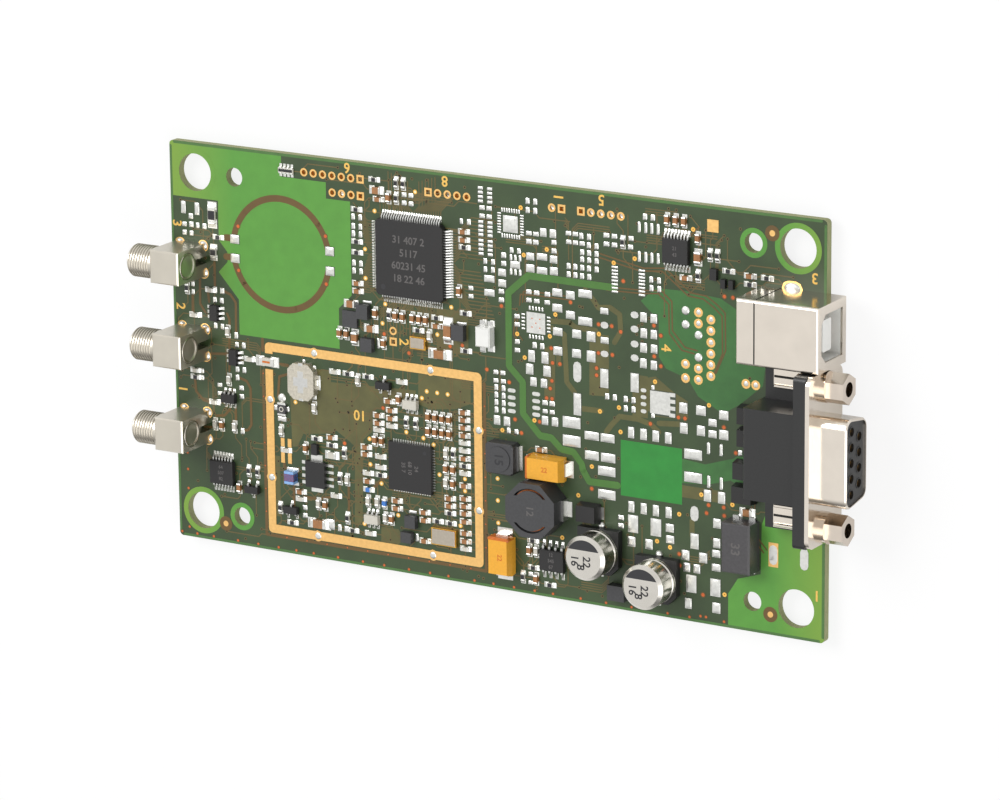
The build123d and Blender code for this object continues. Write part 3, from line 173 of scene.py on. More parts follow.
def paint_light_through_ends(tree, shader):
    """Painted light: colour that stands in for the light showing through the bare laminate, more so towards
    the board's left and right ends.
    """
    start_left, full_left, start_right, full_right = -53.5, -67.5, 57.5, 68.5
    place = add_node(tree, "ShaderNodeTexCoord")
    axes = add_node(tree, "ShaderNodeSeparateXYZ", {}, [("Vector", place, "Object")])
    left, right = [
        add_node(tree, "ShaderNodeMapRange", {"From Min": start * MM, "From Max": full * MM},
                 [("Value", axes, "X")])
        for start, full in ((start_left, full_left), (start_right, full_right))]
    outer = add_node(tree, "ShaderNodeMath", {"operation": "MAXIMUM"},
                     [(0, left, "Result"), (1, right, "Result")])
    light_through = add_node(tree, "ShaderNodeMix", {"data_type": "RGBA", 7: (*linear("77993a"), 1)},
                    [(0, outer, "Value")])
    tree.links.new(shader.inputs["Base Color"].links[0].from_socket, light_through.inputs[6])
    tree.links.new(light_through.outputs[2], shader.inputs["Base Color"])


def make_materials():
    look = bpy.context.scene.reader_colours
    # epoxy-glass laminate under dark mask: faint mottling of the copper fields below
    finish("mask_dark", "solder_mask_over_copper", look.mask_dark, 0.42, 6.0, 0.16, bump=0.004)
    # liquid solder mask, screened and cured: a satin coat that pools slightly over the copper
    for key, name, colour, shade in (
            ("mask_bright", "solder_mask_over_plane", look.mask_bright, 0.08),
            ("mask_olive", "solder_mask_over_pour", look.mask_olive, 0.12),
            ("mask_mid", "solder_mask_over_inner_plane", "366631", 0.1),
            ("mask_moat", "solder_mask_over_gap", "45702f", 0.06),
            ("mask_margin", "solder_mask_at_board_edge", "466b36", 0.08),
            ("track", "masked_copper_track", look.track, 0.1),
            ("ring_track", "masked_copper_ring", look.ring_track, 0.06),
            # bare copper barrel of a via under thin mask: orange glint
            ("via", "via_copper", "c8602a", 0.1)):
        finish(key, name, colour, 0.42, 2.5, shade, bump=0.004)
    # the light mask is painted paler towards the ends, for light through the laminate
    paint_light_through_ends(*finish("mask_light", "solder_mask_over_laminate", look.mask_light, 0.42, 2.5, 0.05,
                      bump=0.004))
    # routed laminate edge: pale glass layers along the board
    finish("edge", "routed_glass_laminate", look.edge, 0.75, 0.35, 0.14, stretch=(0.15, 0.15, 2.0))
    # painted shade: a thin dark outline around each pad, between the pad and the edge of its mask opening
    finish("rim", "painted_pad_edge_shade", "3d4638", 0.6, 0.5, 0.1)
    # immersion gold: soft satin metal
    finish("gold", "immersion_gold", look.gold, 0.38, 0.6, 0.06, 1.0, rough=(0.3, 0.45))
    # gold of the test points, painted brighter than the plain gold: a painted highlight of the key light
    finish("dot_gold", "immersion_gold_dot", "f2bd5e", 0.4, 0.6, 0.05, 0.6)
    # painted highlight: the middle of a small gold point, where it would mirror the lamp
    finish("cream", "gold_highlight", "fbeecb", 0.4, 0.4, 0.04, 0.3)
    # gold plating deep in a hole, painted a darker amber for the shade inside the hole
    finish("amber", "gold_plated_bore", "b4762c", 0.45, 0.4, 0.12, 0.5)
    # hot-air levelled tin: bright, slightly lumpy
    finish("tin", "tin_solder", look.tin, 0.3, 0.5, 0.08, 1.0, bump=0.03, rough=(0.22, 0.42))
    # drawn and tinned lead frame: duller than solder
    finish("lead", "tinned_lead_frame", "c9c9c6", 0.35, 0.4, 0.06, 1.0)
    # nickel plate over turned brass: warm grey, fine turning marks
    finish("nickel", "nickel_plated_brass", "cbc5b8", 0.3, 3.0, 0.03, 1.0, rough=(0.27, 0.33))
    # cut thread of the barrels: the same plate, duller, and painted darker all over for the shade between
    # the crests
    finish("thread", "nickel_plated_thread", "a39c8f", 0.36, 1.0, 0.06, 1.0)
    # bright nickel over pressed steel: nearly a mirror
    finish("steel", "nickel_plated_steel", "dfd6ca", 0.17, 4.0, 0.03, 1.0, rough=(0.14, 0.2))
    # turned jackscrews: warmer and glossier than the sheet, dark lines where they mirror the room
    finish("screw", "nickel_plated_screw", "d6cabd", 0.14, 3.0, 0.04, 1.0, rough=(0.12, 0.17))
    # contact gold: hard gold over nickel
    finish("contact", "hard_gold_contact", "dba84c", 0.28, 0.5, 0.06, 1.0)
    # seam-welded crystal lid: fine satin metal
    finish("lid", "satin_crystal_lid", "b3aa9c", 0.4, 0.5, 0.06, 1.0)
    # deep-drawn aluminium can: bright, brushed round by the drawing
    finish("aluminium", "drawn_aluminium", "d0ccc4", 0.24, 2.5, 0.03, 1.0, rough=(0.22, 0.27))
    # enamelled winding wire: reddish, with a clear gloss
    finish("wire", "enamelled_copper_wire", "9a5a34", 0.3, 0.4, 0.1, 1.0)
    # ceramic and silvered faces of the ferrite circulator
    finish("silver", "silvered_ferrite", "c2bcae", 0.42, 0.5, 0.14, 0.75, bump=0.01)
    # moulding compound: matt black with fine filler grain
    finish("epoxy", "epoxy_moulding_compound", "1c1b1b", 0.55, 0.25, 0.14, ior=1.48, bump=0.01)
    # ferrite: sintered, dark grey, slightly rough
    finish("ferrite", "sintered_ferrite", "303032", 0.5, 0.35, 0.18, ior=1.6, bump=0.015)
    # moulded iron powder of the choke: paler than the ferrite, with a slight sheen
    finish("powder", "moulded_iron_powder", "3b393b", 0.45, 0.5, 0.16, ior=1.6, bump=0.01)
    # glass-filled nylon of the serial connector: black, soft sheen
    finish("black", "glass_filled_nylon_black", "171717", 0.42, 0.4, 0.15, ior=1.53, bump=0.008)
    # white thermoplastic polyester of the data jack
    finish("white", "polyester_white", "e4e4e0", 0.4, 1.5, 0.03, ior=1.57)
    # fluoropolymer insulator: milky white, waxy
    finish("ptfe", "fluoropolymer_white", "e6e2d6", 0.45, 1.0, 0.03, ior=1.35)
    # tantalum case: orange moulded epoxy with a darker polarity band
    finish("tantalum", "orange_moulded_epoxy", "e4a42e", 0.4, 0.5, 0.06, ior=1.55, bump=0.006)
    finish("band", "polarity_band_paint", "c96a1e", 0.45, 0.5, 0.06)
    # marking ink on bare metal: flat black
    finish("ink", "can_marking_ink", "232326", 0.5, 0.4, 0.1)
    # laser mark on a dark body: only a shade paler than the compound
    finish("laser", "laser_mark", "5a5756", 0.6, 0.4, 0.1)
    # legend ink: pale yellow epoxy print
    finish("legend", "legend_ink", "e6b95c", 0.6, 0.5, 0.05)
    # multilayer ceramic: warm brown, satin
    finish("brown", "barium_titanate_ceramic", "98673a", 0.45, 0.8, 0.16, ior=1.6)
    # thick-film resistor glaze: glossy black on white alumina
    finish("glaze", "resistor_glaze", "1d1d21", 0.28, 0.6, 0.12, ior=1.52)
    finish("alumina", "alumina_white", "c4c0b4", 0.5, 0.6, 0.05, ior=1.65)
    # blue coat of the wound and film chip coils
    finish("blue", "blue_chip_coat", "3f78c4", 0.35, 0.5, 0.12)
    # resin on the ends of the chip coil, pale blue
    finish("resin_blue", "blue_resin", "86addb", 0.35, 0.3, 0.1)
    # painted shade: the dark bore of an empty plated hole or a blind recess, and the dark of seams and gaps
    finish("dark", "shadowed_recess", "15150f", 0.8, 0.5, 0.1)


# shaping


def deselect():
    """Leaves edit mode and clears the selection."""
    if bpy.context.object and bpy.context.object.mode != "OBJECT":
        bpy.ops.object.mode_set(mode="OBJECT")
    bpy.ops.object.select_all(action="DESELECT")


def select(obj):
    """Makes the object the only one that is selected."""
    deselect()
    obj.select_set(True)
    bpy.context.view_layer.objects.active = obj


def settle(obj, name, key):
    """Puts the object's place into its mesh, names it and gives it its material."""
    obj.data.transform(obj.matrix_world)
    obj.matrix_world = Matrix.Identity(4)
    obj.name = name
    obj.data.name = name
    obj.data.materials.append(MATS[key])
    return obj


def edit(obj, action, **options):
    """Runs one edit-mode operator on the whole of the object."""
    select(obj)
    bpy.ops.object.mode_set(mode="EDIT")
    bpy.ops.mesh.select_all(action="SELECT")
    action(**options)
    bpy.ops.object.mode_set(mode="OBJECT")


def at(x, y, z=0.0, turn=0.0, scale=(1, 1, 1)):
    """A place in millimetres, turned about Z in degrees, with a scale applied first."""
    return (Matrix.Translation(Vector((x, y, z)) * MM) @ Matrix.Rotation(math.radians(turn), 4, "Z")
            @ Matrix.Diagonal((*scale, 1)))


def lying(x, y, z):
    """A place whose own Z points along X of the board."""
    return Matrix.Translation(Vector((x, y, z)) * MM) @ Matrix.Rotation(math.radians(90), 4, "Y")


def block(name, low, high, key, bevel=0.0):
    """A rectangular piece between two corners in millimetres, with bevelled edges."""
    deselect()
    low, high = Vector(low), Vector(high)
    bpy.ops.mesh.primitive_cube_add(size=1, location=(low + high) / 2 * MM, scale=(high - low) * MM)
    obj = settle(bpy.context.object, name, key)
    if bevel:
        edit(obj, bpy.ops.mesh.bevel, offset=bevel * MM, segments=1, affect="EDGES")
    return obj


def turned(name, stations, key, steps, place=Matrix.Identity(4), closed=False, caps=True):
    """A turned piece: a circle drawn through (radius, height) stations along its own Z."""
    deselect()
    radius, height = stations[0]
    bpy.ops.mesh.primitive_circle_add(vertices=steps, radius=radius * MM, location=(0, 0, 0),
                                      fill_type="NOTHING")
    obj = bpy.context.object
    obj.data.transform(Matrix.Translation((0, 0, height * MM)))
    bpy.ops.object.mode_set(mode="EDIT")
    bpy.ops.mesh.select_all(action="SELECT")
    capped = caps and not closed
    if capped:
        bpy.ops.mesh.edge_face_add()
        bpy.ops.mesh.select_all(action="SELECT")
    for new_radius, new_height in [*stations[1:], *(stations[:1] if closed else ())]:
        bpy.ops.mesh.extrude_edges_move(
            TRANSFORM_OT_translate={"value": (0, 0, (new_height - height) * MM)})
        scale = new_radius / radius
        bpy.ops.transform.resize(value=(scale, scale, 1), center_override=(0, 0, new_height * MM))
        radius, height = new_radius, new_height
    if capped:
        bpy.ops.mesh.edge_face_add()
    bpy.ops.mesh.select_all(action="SELECT")
    bpy.ops.mesh.remove_doubles(threshold=1e-7)
    bpy.ops.mesh.normals_make_consistent(inside=False)
    bpy.ops.object.mode_set(mode="OBJECT")
    obj.data.transform(place)
    return settle(obj, name, key)


def disc(radius, height, sunk=0.01, base=TOP):
    """Stations of a flat disc that stands on a face and starts a little below it."""
    return [(radius, base - sunk), (radius, base + height)]


def band(low, high, inner, outer):
    """Stations of a closed ring with a square section."""
    return [(outer, low), (outer, high), (inner, high), (inner, low)]


def plate(name, points, low, high, key):
    """A flat plate with a free outline: a disc whose corners move to the outline, then extruded."""
    deselect()
    bpy.ops.mesh.primitive_circle_add(vertices=len(points), radius=MM, fill_type="NGON")
    obj = bpy.context.object
    for vertex, (x, y) in zip(obj.data.vertices, points):
        vertex.co = (x * MM, y * MM, low * MM)
    edit(obj, bpy.ops.mesh.extrude_region_move,
         TRANSFORM_OT_translate={"value": (0, 0, (high - low) * MM)})
    edit(obj, bpy.ops.mesh.normals_make_consistent, inside=False)
    return settle(obj, name, key)


def join(name, objs):
    """Joins the pieces into the first one."""
    select(objs[0])
    for obj in objs:
        obj.select_set(True)
    if len(objs) > 1:
        bpy.ops.object.join()
    made = bpy.context.view_layer.objects.active
    made.name = name
    made.data.name = name
    return made


def copies(name, pattern, places, keep=False):
    """Copies a finished shape to each place, each with its own mesh, and joins the copies."""
    made = []
    for place in places:
        obj = pattern.copy()
        obj.data = pattern.data.copy()
        obj.data.transform(place)
        bpy.context.collection.objects.link(obj)
        made.append(obj)
    if not keep:
        bpy.data.objects.remove(pattern)
    return join(name, made)


def spread(name, stations, key, spots, steps=12, **options):
    """One turned shape copied to each (x, y) spot."""
    return copies(name, turned(name + "_pattern", stations, key, steps, **options),
                  [at(x, y) for x, y in spots])


def smooth(obj, angle):
    """Shades the piece smooth where its faces meet at less than the angle in degrees."""
    select(obj)
    bpy.ops.object.shade_smooth_by_angle(angle=math.radians(angle))
    return obj


def cut(obj, cutter, operation):
    """Applies one exact boolean and removes the cutter."""
    select(obj)
    change = obj.modifiers.new("cut", "BOOLEAN")
    change.operation = operation
    change.object = cutter
    change.solver = "EXACT"
    bpy.ops.object.modifier_apply(modifier=change.name)
    bpy.data.objects.remove(cutter)


def islands(name):
    """Low corner, high corner and middle, in millimetres, of each separate solid in a CAD node."""
    mesh = nodes[name].data
    steps = 200  # in a millimetre: corners within one step are the same corner
    keys, parent = {}, []

    def find(i):
        while parent[i] != i:
            parent[i] = parent[parent[i]]
            i = parent[i]
        return i

    index = []
    for vertex in mesh.vertices:
        key = tuple(round(c / MM * steps) for c in vertex.co)
        if key not in keys:
            keys[key] = len(parent)
            parent.append(len(parent))
        index.append(keys[key])
    for edge in mesh.edges:
        a, b = find(index[edge.vertices[0]]), find(index[edge.vertices[1]])
        parent[a] = b
    groups = {}
    for vertex, i in zip(mesh.vertices, index):
        groups.setdefault(find(i), []).append(vertex.co / MM)
    boxes = []
    for points in groups.values():
        low, high = Vector(map(min, zip(*points))), Vector(map(max, zip(*points)))
        boxes.append((low, high, (low + high) / 2))
    return sorted(boxes, key=lambda box: (round(box[0].x, 3), round(box[0].y, 3)))


def ride(obj):
    """Every piece moves with the one body."""
    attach(obj, "root")


# board


def board_copy(name):
    """A merged copy of the CAD board."""
    obj = nodes["board"].copy()
    obj.data = nodes["board"].data.copy()
    obj.name = name
    for key in list(obj.keys()):
        del obj[key]
    obj.parent = None
    obj.matrix_world = Matrix.Identity(4)
    bpy.context.collection.objects.link(obj)
    obj.hide_render = False
    obj.hide_viewport = False
    obj.hide_set(False)
    obj.data.materials.clear()
    edit(obj, bpy.ops.mesh.remove_doubles, threshold=1e-6)
    return obj


def field(name, points, step, key, under=False):
    """A masked field on one side of the board that leaves the board's holes open."""
    depth, skin, beyond = 0.4, 0.02, 5
    low, high = (-step, depth) if under else (TOP - depth, TOP + step)
    prism = plate(name + "_outline", points, low, high, key)
    sheet = board_copy(name)
    sheet.data.transform(Matrix.Translation((0, 0, (-step if under else step) * MM)))
    low, high = (skin, TOP + 1) if under else (-1, TOP - skin)
    rest = block(
        "field_cut", (LEFT - beyond, LOWER - beyond, low), (RIGHT + beyond, UPPER + beyond, high), key)
    cut(sheet, prism, "INTERSECT")
    cut(sheet, rest, "DIFFERENCE")
    sheet.data.materials.clear()
    sheet.data.materials.append(MATS[key])
    return sheet


LIGHT_CORNER = (
    (-67.45, 37.7), (-43.1, 37.7), (-43.1, 33.4), (-33.6, 33.4), (-33.6, 30.4), (-28.5, 30.4),
    (-28.5, 13.0), (-31.3, 10.3), (-31.3, 2.7), (-53.0, 2.7), (-53.0, 9.3), (-57.3, 14.0),
    (-55.3, 16.1), (-55.3, 18.0), (-57.1, 20.0), (-57.1, 27.4), (-67.45, 27.4))
LIGHT_RIGHT = (
    (48.6, -37.7), (67.45, -37.7), (67.45, -10.0), (58.0, -10.0), (55.2, -18.0), (55.0, -27.0),
    (50.5, -28.5), (48.6, -31.5))
BRIGHT_FIELD = (
    (27.1, -16.6), (39.4, -16.6), (39.4, -6.4), (27.1, -6.4))
NEXT_FIELD = (
    (39.4, -12.6), (44.5, -12.2), (49.0, -10.8), (56.0, -14.0), (56.0, -2.6), (49.5, -6.8), (44.0, -8.6),
    (39.4, -8.2))
MID_FIELD = (
    (31.2, 19.3), (34.2, 21.9), (40.2, 22.1), (47.0, 21.6), (50.5, 19.8), (55.8, 10.6), (55.3, 7.0),
    (50.9, 3.2), (47.5, 1.0), (42.6, 3.5), (40.6, 6.4), (36.2, 7.7), (34.8, 9.6), (34.8, 16.2), (32.4, 18.2))
OLIVE_FIELDS = (
    ((-42.2, -10.1), (-42.2, -1.6), (-33.3, -1.8), (-33.3, -3.8), (-15.2, -3.0), (-15.2, -5.5),
     (-24.3, -7.7), (-24.6, -12.0), (-26.5, -13.7), (-27.0, -29.4), (-28.7, -30.1), (-28.4, -15.3),
     (-29.5, -14.5), (-32.4, -12.8), (-33.5, -13.6), (-39.5, -14.4), (-40.9, -17.0), (-42.0, -17.2)),
    ((-14.6, 0.2), (-3.6, 0.2), (-3.7, -4.0), (-6.8, -5.4), (-12.1, -6.1), (-14.7, -5.5)),
    ((-23.0, -29.7), (-19.3, -29.7), (-18.2, -31.4), (-19.9, -33.1), (-23.1, -33.1)),
    ((31.1, 5.2), (34.1, 6.0), (37.6, 3.7), (40.6, 2.3), (40.6, -0.9), (34.1, -1.3), (31.1, 0.6)),
    ((20.9, 12.2), (24.8, 12.2), (24.8, 1.1), (20.8, 0.9)),
    ((11.7, 8.4), (13.9, 8.7), (13.8, -1.0), (11.6, -1.3)),
    ((-10.6, 12.9), (-4.0, 12.9), (-4.0, 4.9), (-10.6, 4.9)))
OLIVE_BLOCKS = (
    ((-46.0, -31.0), (-44.8, -19.4)), ((29.5, -1.8), (32.6, 5.8)), ((36.2, -15.2), (47.6, -13.0)))
MOAT = (
    (26.0, 21.0), (22.0, 21.0), (8.5, 21.1), (4.4, 17.5), (4.4, 4.1), (7.2, 1.5), (7.2, -4.3),
    (10.7, -7.9), (13.0, -8.0), (15.0, -9.8), (17.5, -10.0), (19.2, -12.0), (19.4, -13.0),
    (20.7, -15.0), (26.5, -14.9))
WIDE_TRACKS = (
    ((13.1, 13.4), (16.9, 13.6), (18.2, 12.8), (22.2, 12.8)),
    ((13.1, 12.2), (15.8, 11.3), (16.2, 2.7), (17.8, 1.0)),
    ((20.1, 20.0), (21.7, 18.3), (22.7, 17.0), (25.1, 17.3), (27.0, 16.3), (27.2, 13.2), (25.9, 11.1)),
    ((24.2, -5.4), (25.3, -3.9), (26.9, -2.2), (30.6, -2.2), (33.2, -2.8), (34.8, -4.0)),
    ((19.2, -1.8), (23.2, -1.7)), ((12.8, 8.4), (14.6, 8.0), (14.6, 5.7)),
    ((34.8, -2.4), (39.0, -2.0)), ((41.4, -19.2), (41.4, -22.0)), ((20.2, -22.6), (21.8, -24.6)))
SIGNAL_LINES = (
    ((-58.2, 15.7), (-58.2, 10.6)), ((-61.5, 12.2), (-61.6, 7.5), (-60.6, 6.1)),
    ((-63.2, 9.8), (-63.3, 5.8)),
    ((-56.6, 10.6), (-54.8, 10.0), (-53.7, 8.6), (-53.8, 2.5)), ((-59.8, 10.2), (-59.6, 8.1)),
    ((-59.8, -1.8), (-55.3, -1.3)), ((-63.2, -7.2), (-63.0, -9.4), (-61.4, -10.9), (-59.7, -11.1)),
    ((-53.2, -5.6), (-51.7, -6.0), (-50.9, -7.3), (-50.9, -14.2), (-51.6, -15.3), (-52.9, -15.6)),
    ((-55.7, 6.3), (-55.2, 5.3), (-55.5, -4.5)), ((-54.3, -11.2), (-54.3, -15.0)),
    ((-61.3, -16.0), (-59.8, -15.9)), ((-55.5, -11.8), (-56.8, -13.2), (-58.5, -13.5)),
    ((-48.0, -1.8), (-42.6, -1.8)), ((-44.9, -8.0), (-44.5, -4.2), (-42.6, -3.5)),
    ((-44.0, -18.9), (-43.7, -21.3), (-41.8, -21.9), (-41.9, -29.6)), ((-29.9, -21.2), (-29.9, -27.4)),
    ((-39.7, -26.4), (-36.5, -26.4), (-33.7, -25.6)), ((-19.4, -20.0), (-22.4, -20.4), (-24.6, -22.8)))
JACK_LINES = (
    ((22.4, 26.2), (31.2, 24.6), (35.5, 25.1), (40.6, 21.3), (43.6, 21.1), (45.6, 19.9), (47.3, 18.5),
     (47.4, 11.8), (45.5, 7.5)),
    ((24.4, 20.4), (31.2, 20.6), (34.7, 21.0), (36.8, 19.3), (36.9, 14.1), (39.4, 11.4), (41.8, 11.1)),
    ((6.7, 15.5), (6.9, 17.5), (10.5, 17.7), (16.9, 17.7)), ((5.8, 13.4), (5.4, 10.0), (6.6, 8.6)),
    ((55.6, -23.0), (53.2, -20.4), (53.2, -15.0)), ((36.4, 31.2), (40.2, 31.2), (42.2, 33.2)))


# where no fine tracks show, as (low x, low y, high x, high y)
LIGHT_AREAS = ((-57, 2.7, -28.5, 33.4), (2 * LEFT, 27.4, -43, 2 * UPPER), (48.6, 2 * LOWER, 2 * RIGHT, -18),
               (27.1, -16.6, 39.4, -6.4), (36.4, 2.6, 51, 21.2))
CROWDED_AREAS = ((3, -20, 56, 21), (-48, -34, -24, 2))
# shortest and longest length of each leg of a track
CHIP_LEGS = ((0.8, 2.4), (0.6, 3.5), (1.0, 7.0))
LOOSE_LEGS = ((2, 9), (0.6, 2.5), (2, 8))
LIFTS = 101  # how many small lifts there are, so that no two tracks that cross have tops in one plane


def tracks(name, paths, width, height, key):
    """Masked tracks: strips and round joints over the board, joined in one mesh."""
    strips, joints = [], []
    for points in paths:
        for (x0, y0), (x1, y1) in zip(points, points[1:]):
            turn = math.degrees(math.atan2(y1 - y0, x1 - x0))
            length = math.hypot(x1 - x0, y1 - y0)
            strips.append(at((x0 + x1) / 2, (y0 + y1) / 2, 0, turn, (length, width, 1)))
        joints += [at(x, y, 0, 0, (width, width, 1)) for x, y in points]
    lift = [Matrix.Translation((0, 0, i * 37 % LIFTS / LIFTS * 0.006 * MM)) for i in range(LIFTS)]
    strips = [lift[i % LIFTS] @ place for i, place in enumerate(strips)]
    joints = [lift[(i * 3 + 50) % LIFTS] @ place for i, place in enumerate(joints)]
    strip = block("strip", (-0.5, -0.5, BED), (0.5, 0.5, TOP + height), key)
    knee = turned("knee", disc(0.5, height * 0.98), key, 8)
    return join(name, [copies("strips", strip, strips), copies("knees", knee, joints)])


def clear_of_holes(x, y, margin=0.0):
    """Whether a spot keeps its distance from the fixing holes and the board's edges."""
    rim = 0.8
    for hole_x, reach in ((HOLE_X, 5.2), (SMALL_HOLE_X, 3.2)):
        if math.hypot(abs(x) - hole_x, abs(y) - HOLE_Y) < reach + margin:
            return False
    return LEFT + rim < x < RIGHT - rim and LOWER + rim < y < UPPER - rim


def inside(areas, x, y):
    return any(x0 < x < x1 and y0 < y < y1 for x0, y0, x1, y1 in areas)


def free(x, y):
    """Whether a track or a via may go here."""
    return clear_of_holes(x, y) and not inside(LIGHT_AREAS, x, y)


def facing(flat, forward):
    """Heading in degrees: along X or Y, forward or back."""
    return (0 if flat else 90) + (0 if forward else 180)


def step_on(spot, leg, heading):
    """The end of a straight leg, or None where no track may go."""
    x = spot[0] + leg * math.cos(math.radians(heading))
    y = spot[1] + leg * math.sin(math.radians(heading))
    return (x, y) if free(x, y) else None


def wander(rng, x, y, heading, spans):
    """A routed track: straight legs that bend by 45 degrees, kept clear of holes and light fields."""
    points, spot = [(x, y)], (x, y)
    for leg in [rng.uniform(*span) for span in spans]:
        spot = step_on(spot, leg, heading)
        if not spot:
            break
        points.append((round(spot[0], 2), round(spot[1], 2)))
        heading += rng.choice((-45, 45))
    return points


class READER_OT_board(bpy.types.Operator):
    """Board with masked fields, laminate edge and plated holes"""
    bl_idname = "reader.board"
    bl_label = "Board"

    def execute(self, context):
        step = context.scene.reader_sizes.mask_step / MM
        slab = board_copy("board_laminate")
        for key in ("mask_dark", "edge", "gold"):
            slab.data.materials.append(MATS[key])
        for face in slab.data.polygons:
            c = face.center / MM
            if abs(face.normal.z) < 0.5:
                near = min(c.x - LEFT, RIGHT - c.x, c.y - LOWER, UPPER - c.y)
                fixing = abs(abs(c.y) - HOLE_Y) < 3.7 and (
                    abs(abs(c.x) - HOLE_X) < 3.7 or abs(abs(c.x) - SMALL_HOLE_X) < 2)
                face.material_index = 1 if near < 0.6 or fixing else 2
        ride(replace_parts(slab, "board"))
        fields = [
            field("light_corner", LIGHT_CORNER, step, "mask_light"),
            field("light_right", LIGHT_RIGHT, step, "mask_light"),
            field("bright_field", BRIGHT_FIELD, step * 1.2, "mask_bright"),
            field("next_field", NEXT_FIELD, step * 1.1, "mask_mid"),
            field("mid_field", MID_FIELD, step, "mask_mid"),
            field("under_corner", LIGHT_CORNER, step, "mask_light", True),
            field("under_right", LIGHT_RIGHT, step, "mask_light", True)]
        for i, points in enumerate(OLIVE_FIELDS):
            fields.append(field(f"pour_field_{i}", points, step * (0.9 + 0.05 * i), "mask_olive"))
        for low, high in OLIVE_BLOCKS:
            fields.append(block("pour", (*low, BED), (*high, TOP + step), "mask_olive"))
        ride(join("masked_fields", fields))
        ride(tracks("moat", [MOAT], 1.3, 0.036, "mask_moat"))
        inset, corner = 0.27, 0.8
        x0, x1, y0, y1 = LEFT + inset, RIGHT - inset, LOWER + inset, UPPER - inset
        margin = [((x0 + corner, y), (x1 - corner, y)) for y in (y0, y1)]
        margin += [((x, y0 + corner), (x, y1 - corner)) for x in (x1, x0)]
        ride(tracks("edge_margin", margin, 0.5, 0.026, "mask_margin"))
        ride(tracks("wide_tracks", WIDE_TRACKS, 1.0, step * 1.4, "mask_olive"))
        ride(tracks("signal_lines", SIGNAL_LINES, 0.5, 0.03, "ring_track"))
        pairs = [[(x + d, y + d) for x, y in path] for path in JACK_LINES for d in (0, 0.6)]
        ride(tracks("jack_lines", pairs, 0.26, 0.03, "ring_track"))
        return {"FINISHED"}


def chip_routes(rng):
    """Tracks that leave the two ends of each chip."""
    for name in ("chip_capacitors", "chip_resistors", "white_chips"):
        for low, high, mid in islands(name):
            flat = high.x - low.x > high.y - low.y
            for side in (-1, 1):
                x = mid.x + (side * (high.x - low.x) / 2 if flat else 0)
                y = mid.y + (0 if flat else side * (high.y - low.y) / 2)
                yield wander(rng, x, y, facing(flat, side > 0), CHIP_LEGS)


def lead_routes():
    """Tracks that fan out from the leads of the microcontroller."""
    centre = node_box("microcontroller_body")[2]
    for low, high, mid in islands("microcontroller_leads"):
        flat = high.x - low.x > high.y - low.y
        side = mid.x > centre.x if flat else mid.y > centre.y
        heading = facing(flat, side)
        tip = high if side else low
        along = mid.y - centre.y if flat else mid.x - centre.x
        lean = 45 if (along > 0) == (side if flat else not side) else -45
        path = [(tip.x, mid.y) if flat else (mid.x, tip.y)]
        for leg, turn in ((0.6 + abs(along) * 0.12, lean), (1.2 + abs(along) * 0.5, -lean), (4.5, 0)):
            spot = step_on(path[-1], leg, heading)
            if not spot:
                break
            path.append(spot)
            heading += turn
        yield path


def loose_routes(rng):
    """Bundles of one to four tracks over the rest of the board."""
    tries, pitch = 170, 0.45
    for _ in range(tries):
        x, y = rng.uniform(-64, 56), rng.uniform(-36, 36)
        if inside(LIGHT_AREAS + CROWDED_AREAS, x, y) or not clear_of_holes(x, y, 1):
            continue
        path = wander(rng, x, y, rng.choice((0, 90, 180, 270, 0, 180)), LOOSE_LEGS)
        if len(path) > 2:
            count = rng.choice((1, 1, 2, 3, 4))
            yield [[(px, py + pitch * k) for px, py in path] for k in range(count)], path[-1]


class READER_OT_tracks(bpy.types.Operator):
    """Signal tracks and vias under the solder mask"""
    bl_idname = "reader.tracks"
    bl_label = "Tracks and vias"

    def execute(self, context):
        width = context.scene.reader_sizes.track_width / MM
        rng = random.Random(7)
        via_tries = 260
        paths = [path for path in chip_routes(rng) if len(path) > 1]
        dots = [path[-1] for path in paths]
        paths += [path for path in lead_routes() if len(path) > 1]
        for bundle, dot in loose_routes(rng):
            paths += bundle
            dots.append(dot)
        above = tracks("signal_tracks", paths, width, 0.02, "track")
        flip = Matrix.Translation((0, 0, TOP * MM)) @ Matrix.Rotation(math.pi, 4, "X")
        ride(copies("under_tracks", above, [flip], keep=True))
        ride(above)
        spots = [(x, y) for x, y in dots if clear_of_holes(x, y)]
        for _ in range(via_tries):
            x, y = rng.uniform(-65, 56), rng.uniform(-36.5, 36.5)
            if free(x, y):
                spots.append((x, y))
        # each via gets a dark disc of painted shade for its hole
        vias = join("via_lands", [spread("lands", disc(0.3, 0.028), "track", spots, 10),
                                  spread("via_hole_shades", disc(0.15, 0.034), "dark", spots, 8)])
        ride(copies("under_vias", vias, [flip], keep=True))
        ride(vias)
        # the vias near the lower and the left edge are smaller
        places = [at(x, y, 0, 0, (0.66, 0.66, 1) if y < -36 or x < -60 else (1, 1, 1))
                  for x, y in ORANGE_VIAS]
        ride(join("bare_vias", [copies("bare", turned("bare_via", disc(0.33, 0.04), "via", 12), places),
                                copies("halos", turned("via_halo", disc(0.52, 0.033), "ring_track", 14),
                                       places)]))
        # test points on the right get a disc of painted shade for their bore, and those on the left a
        # painted highlight where they would mirror the lamp
        middle = 2
        painted_bores = [dot for dot in TEST_DOTS if dot[0] > middle]
        glints = [dot for dot in TEST_DOTS if dot[0] <= middle]
        ride(join("test_points", [
            spread("dots", disc(0.42, 0.045), "dot_gold", TEST_DOTS, 14),
            spread("bore_shades", disc(0.14, 0.05, 0), "amber", painted_bores, 8),
            spread("shines", disc(0.2, 0.05, 0), "cream", glints, 10)]))
        spots = [(x + dx, y + dy) for x, y in ((5.0, 30.05), (10.05, 12.65))
                 for dx, dy in ((0, 0), (-0.8, -0.8), (-0.8, 0.8), (0.8, -0.8), (0.8, 0.8))]
        ride(spread("thermal_vias", disc(0.13, 0.112, 0), "via", spots, 8))
        return {"FINISHED"}


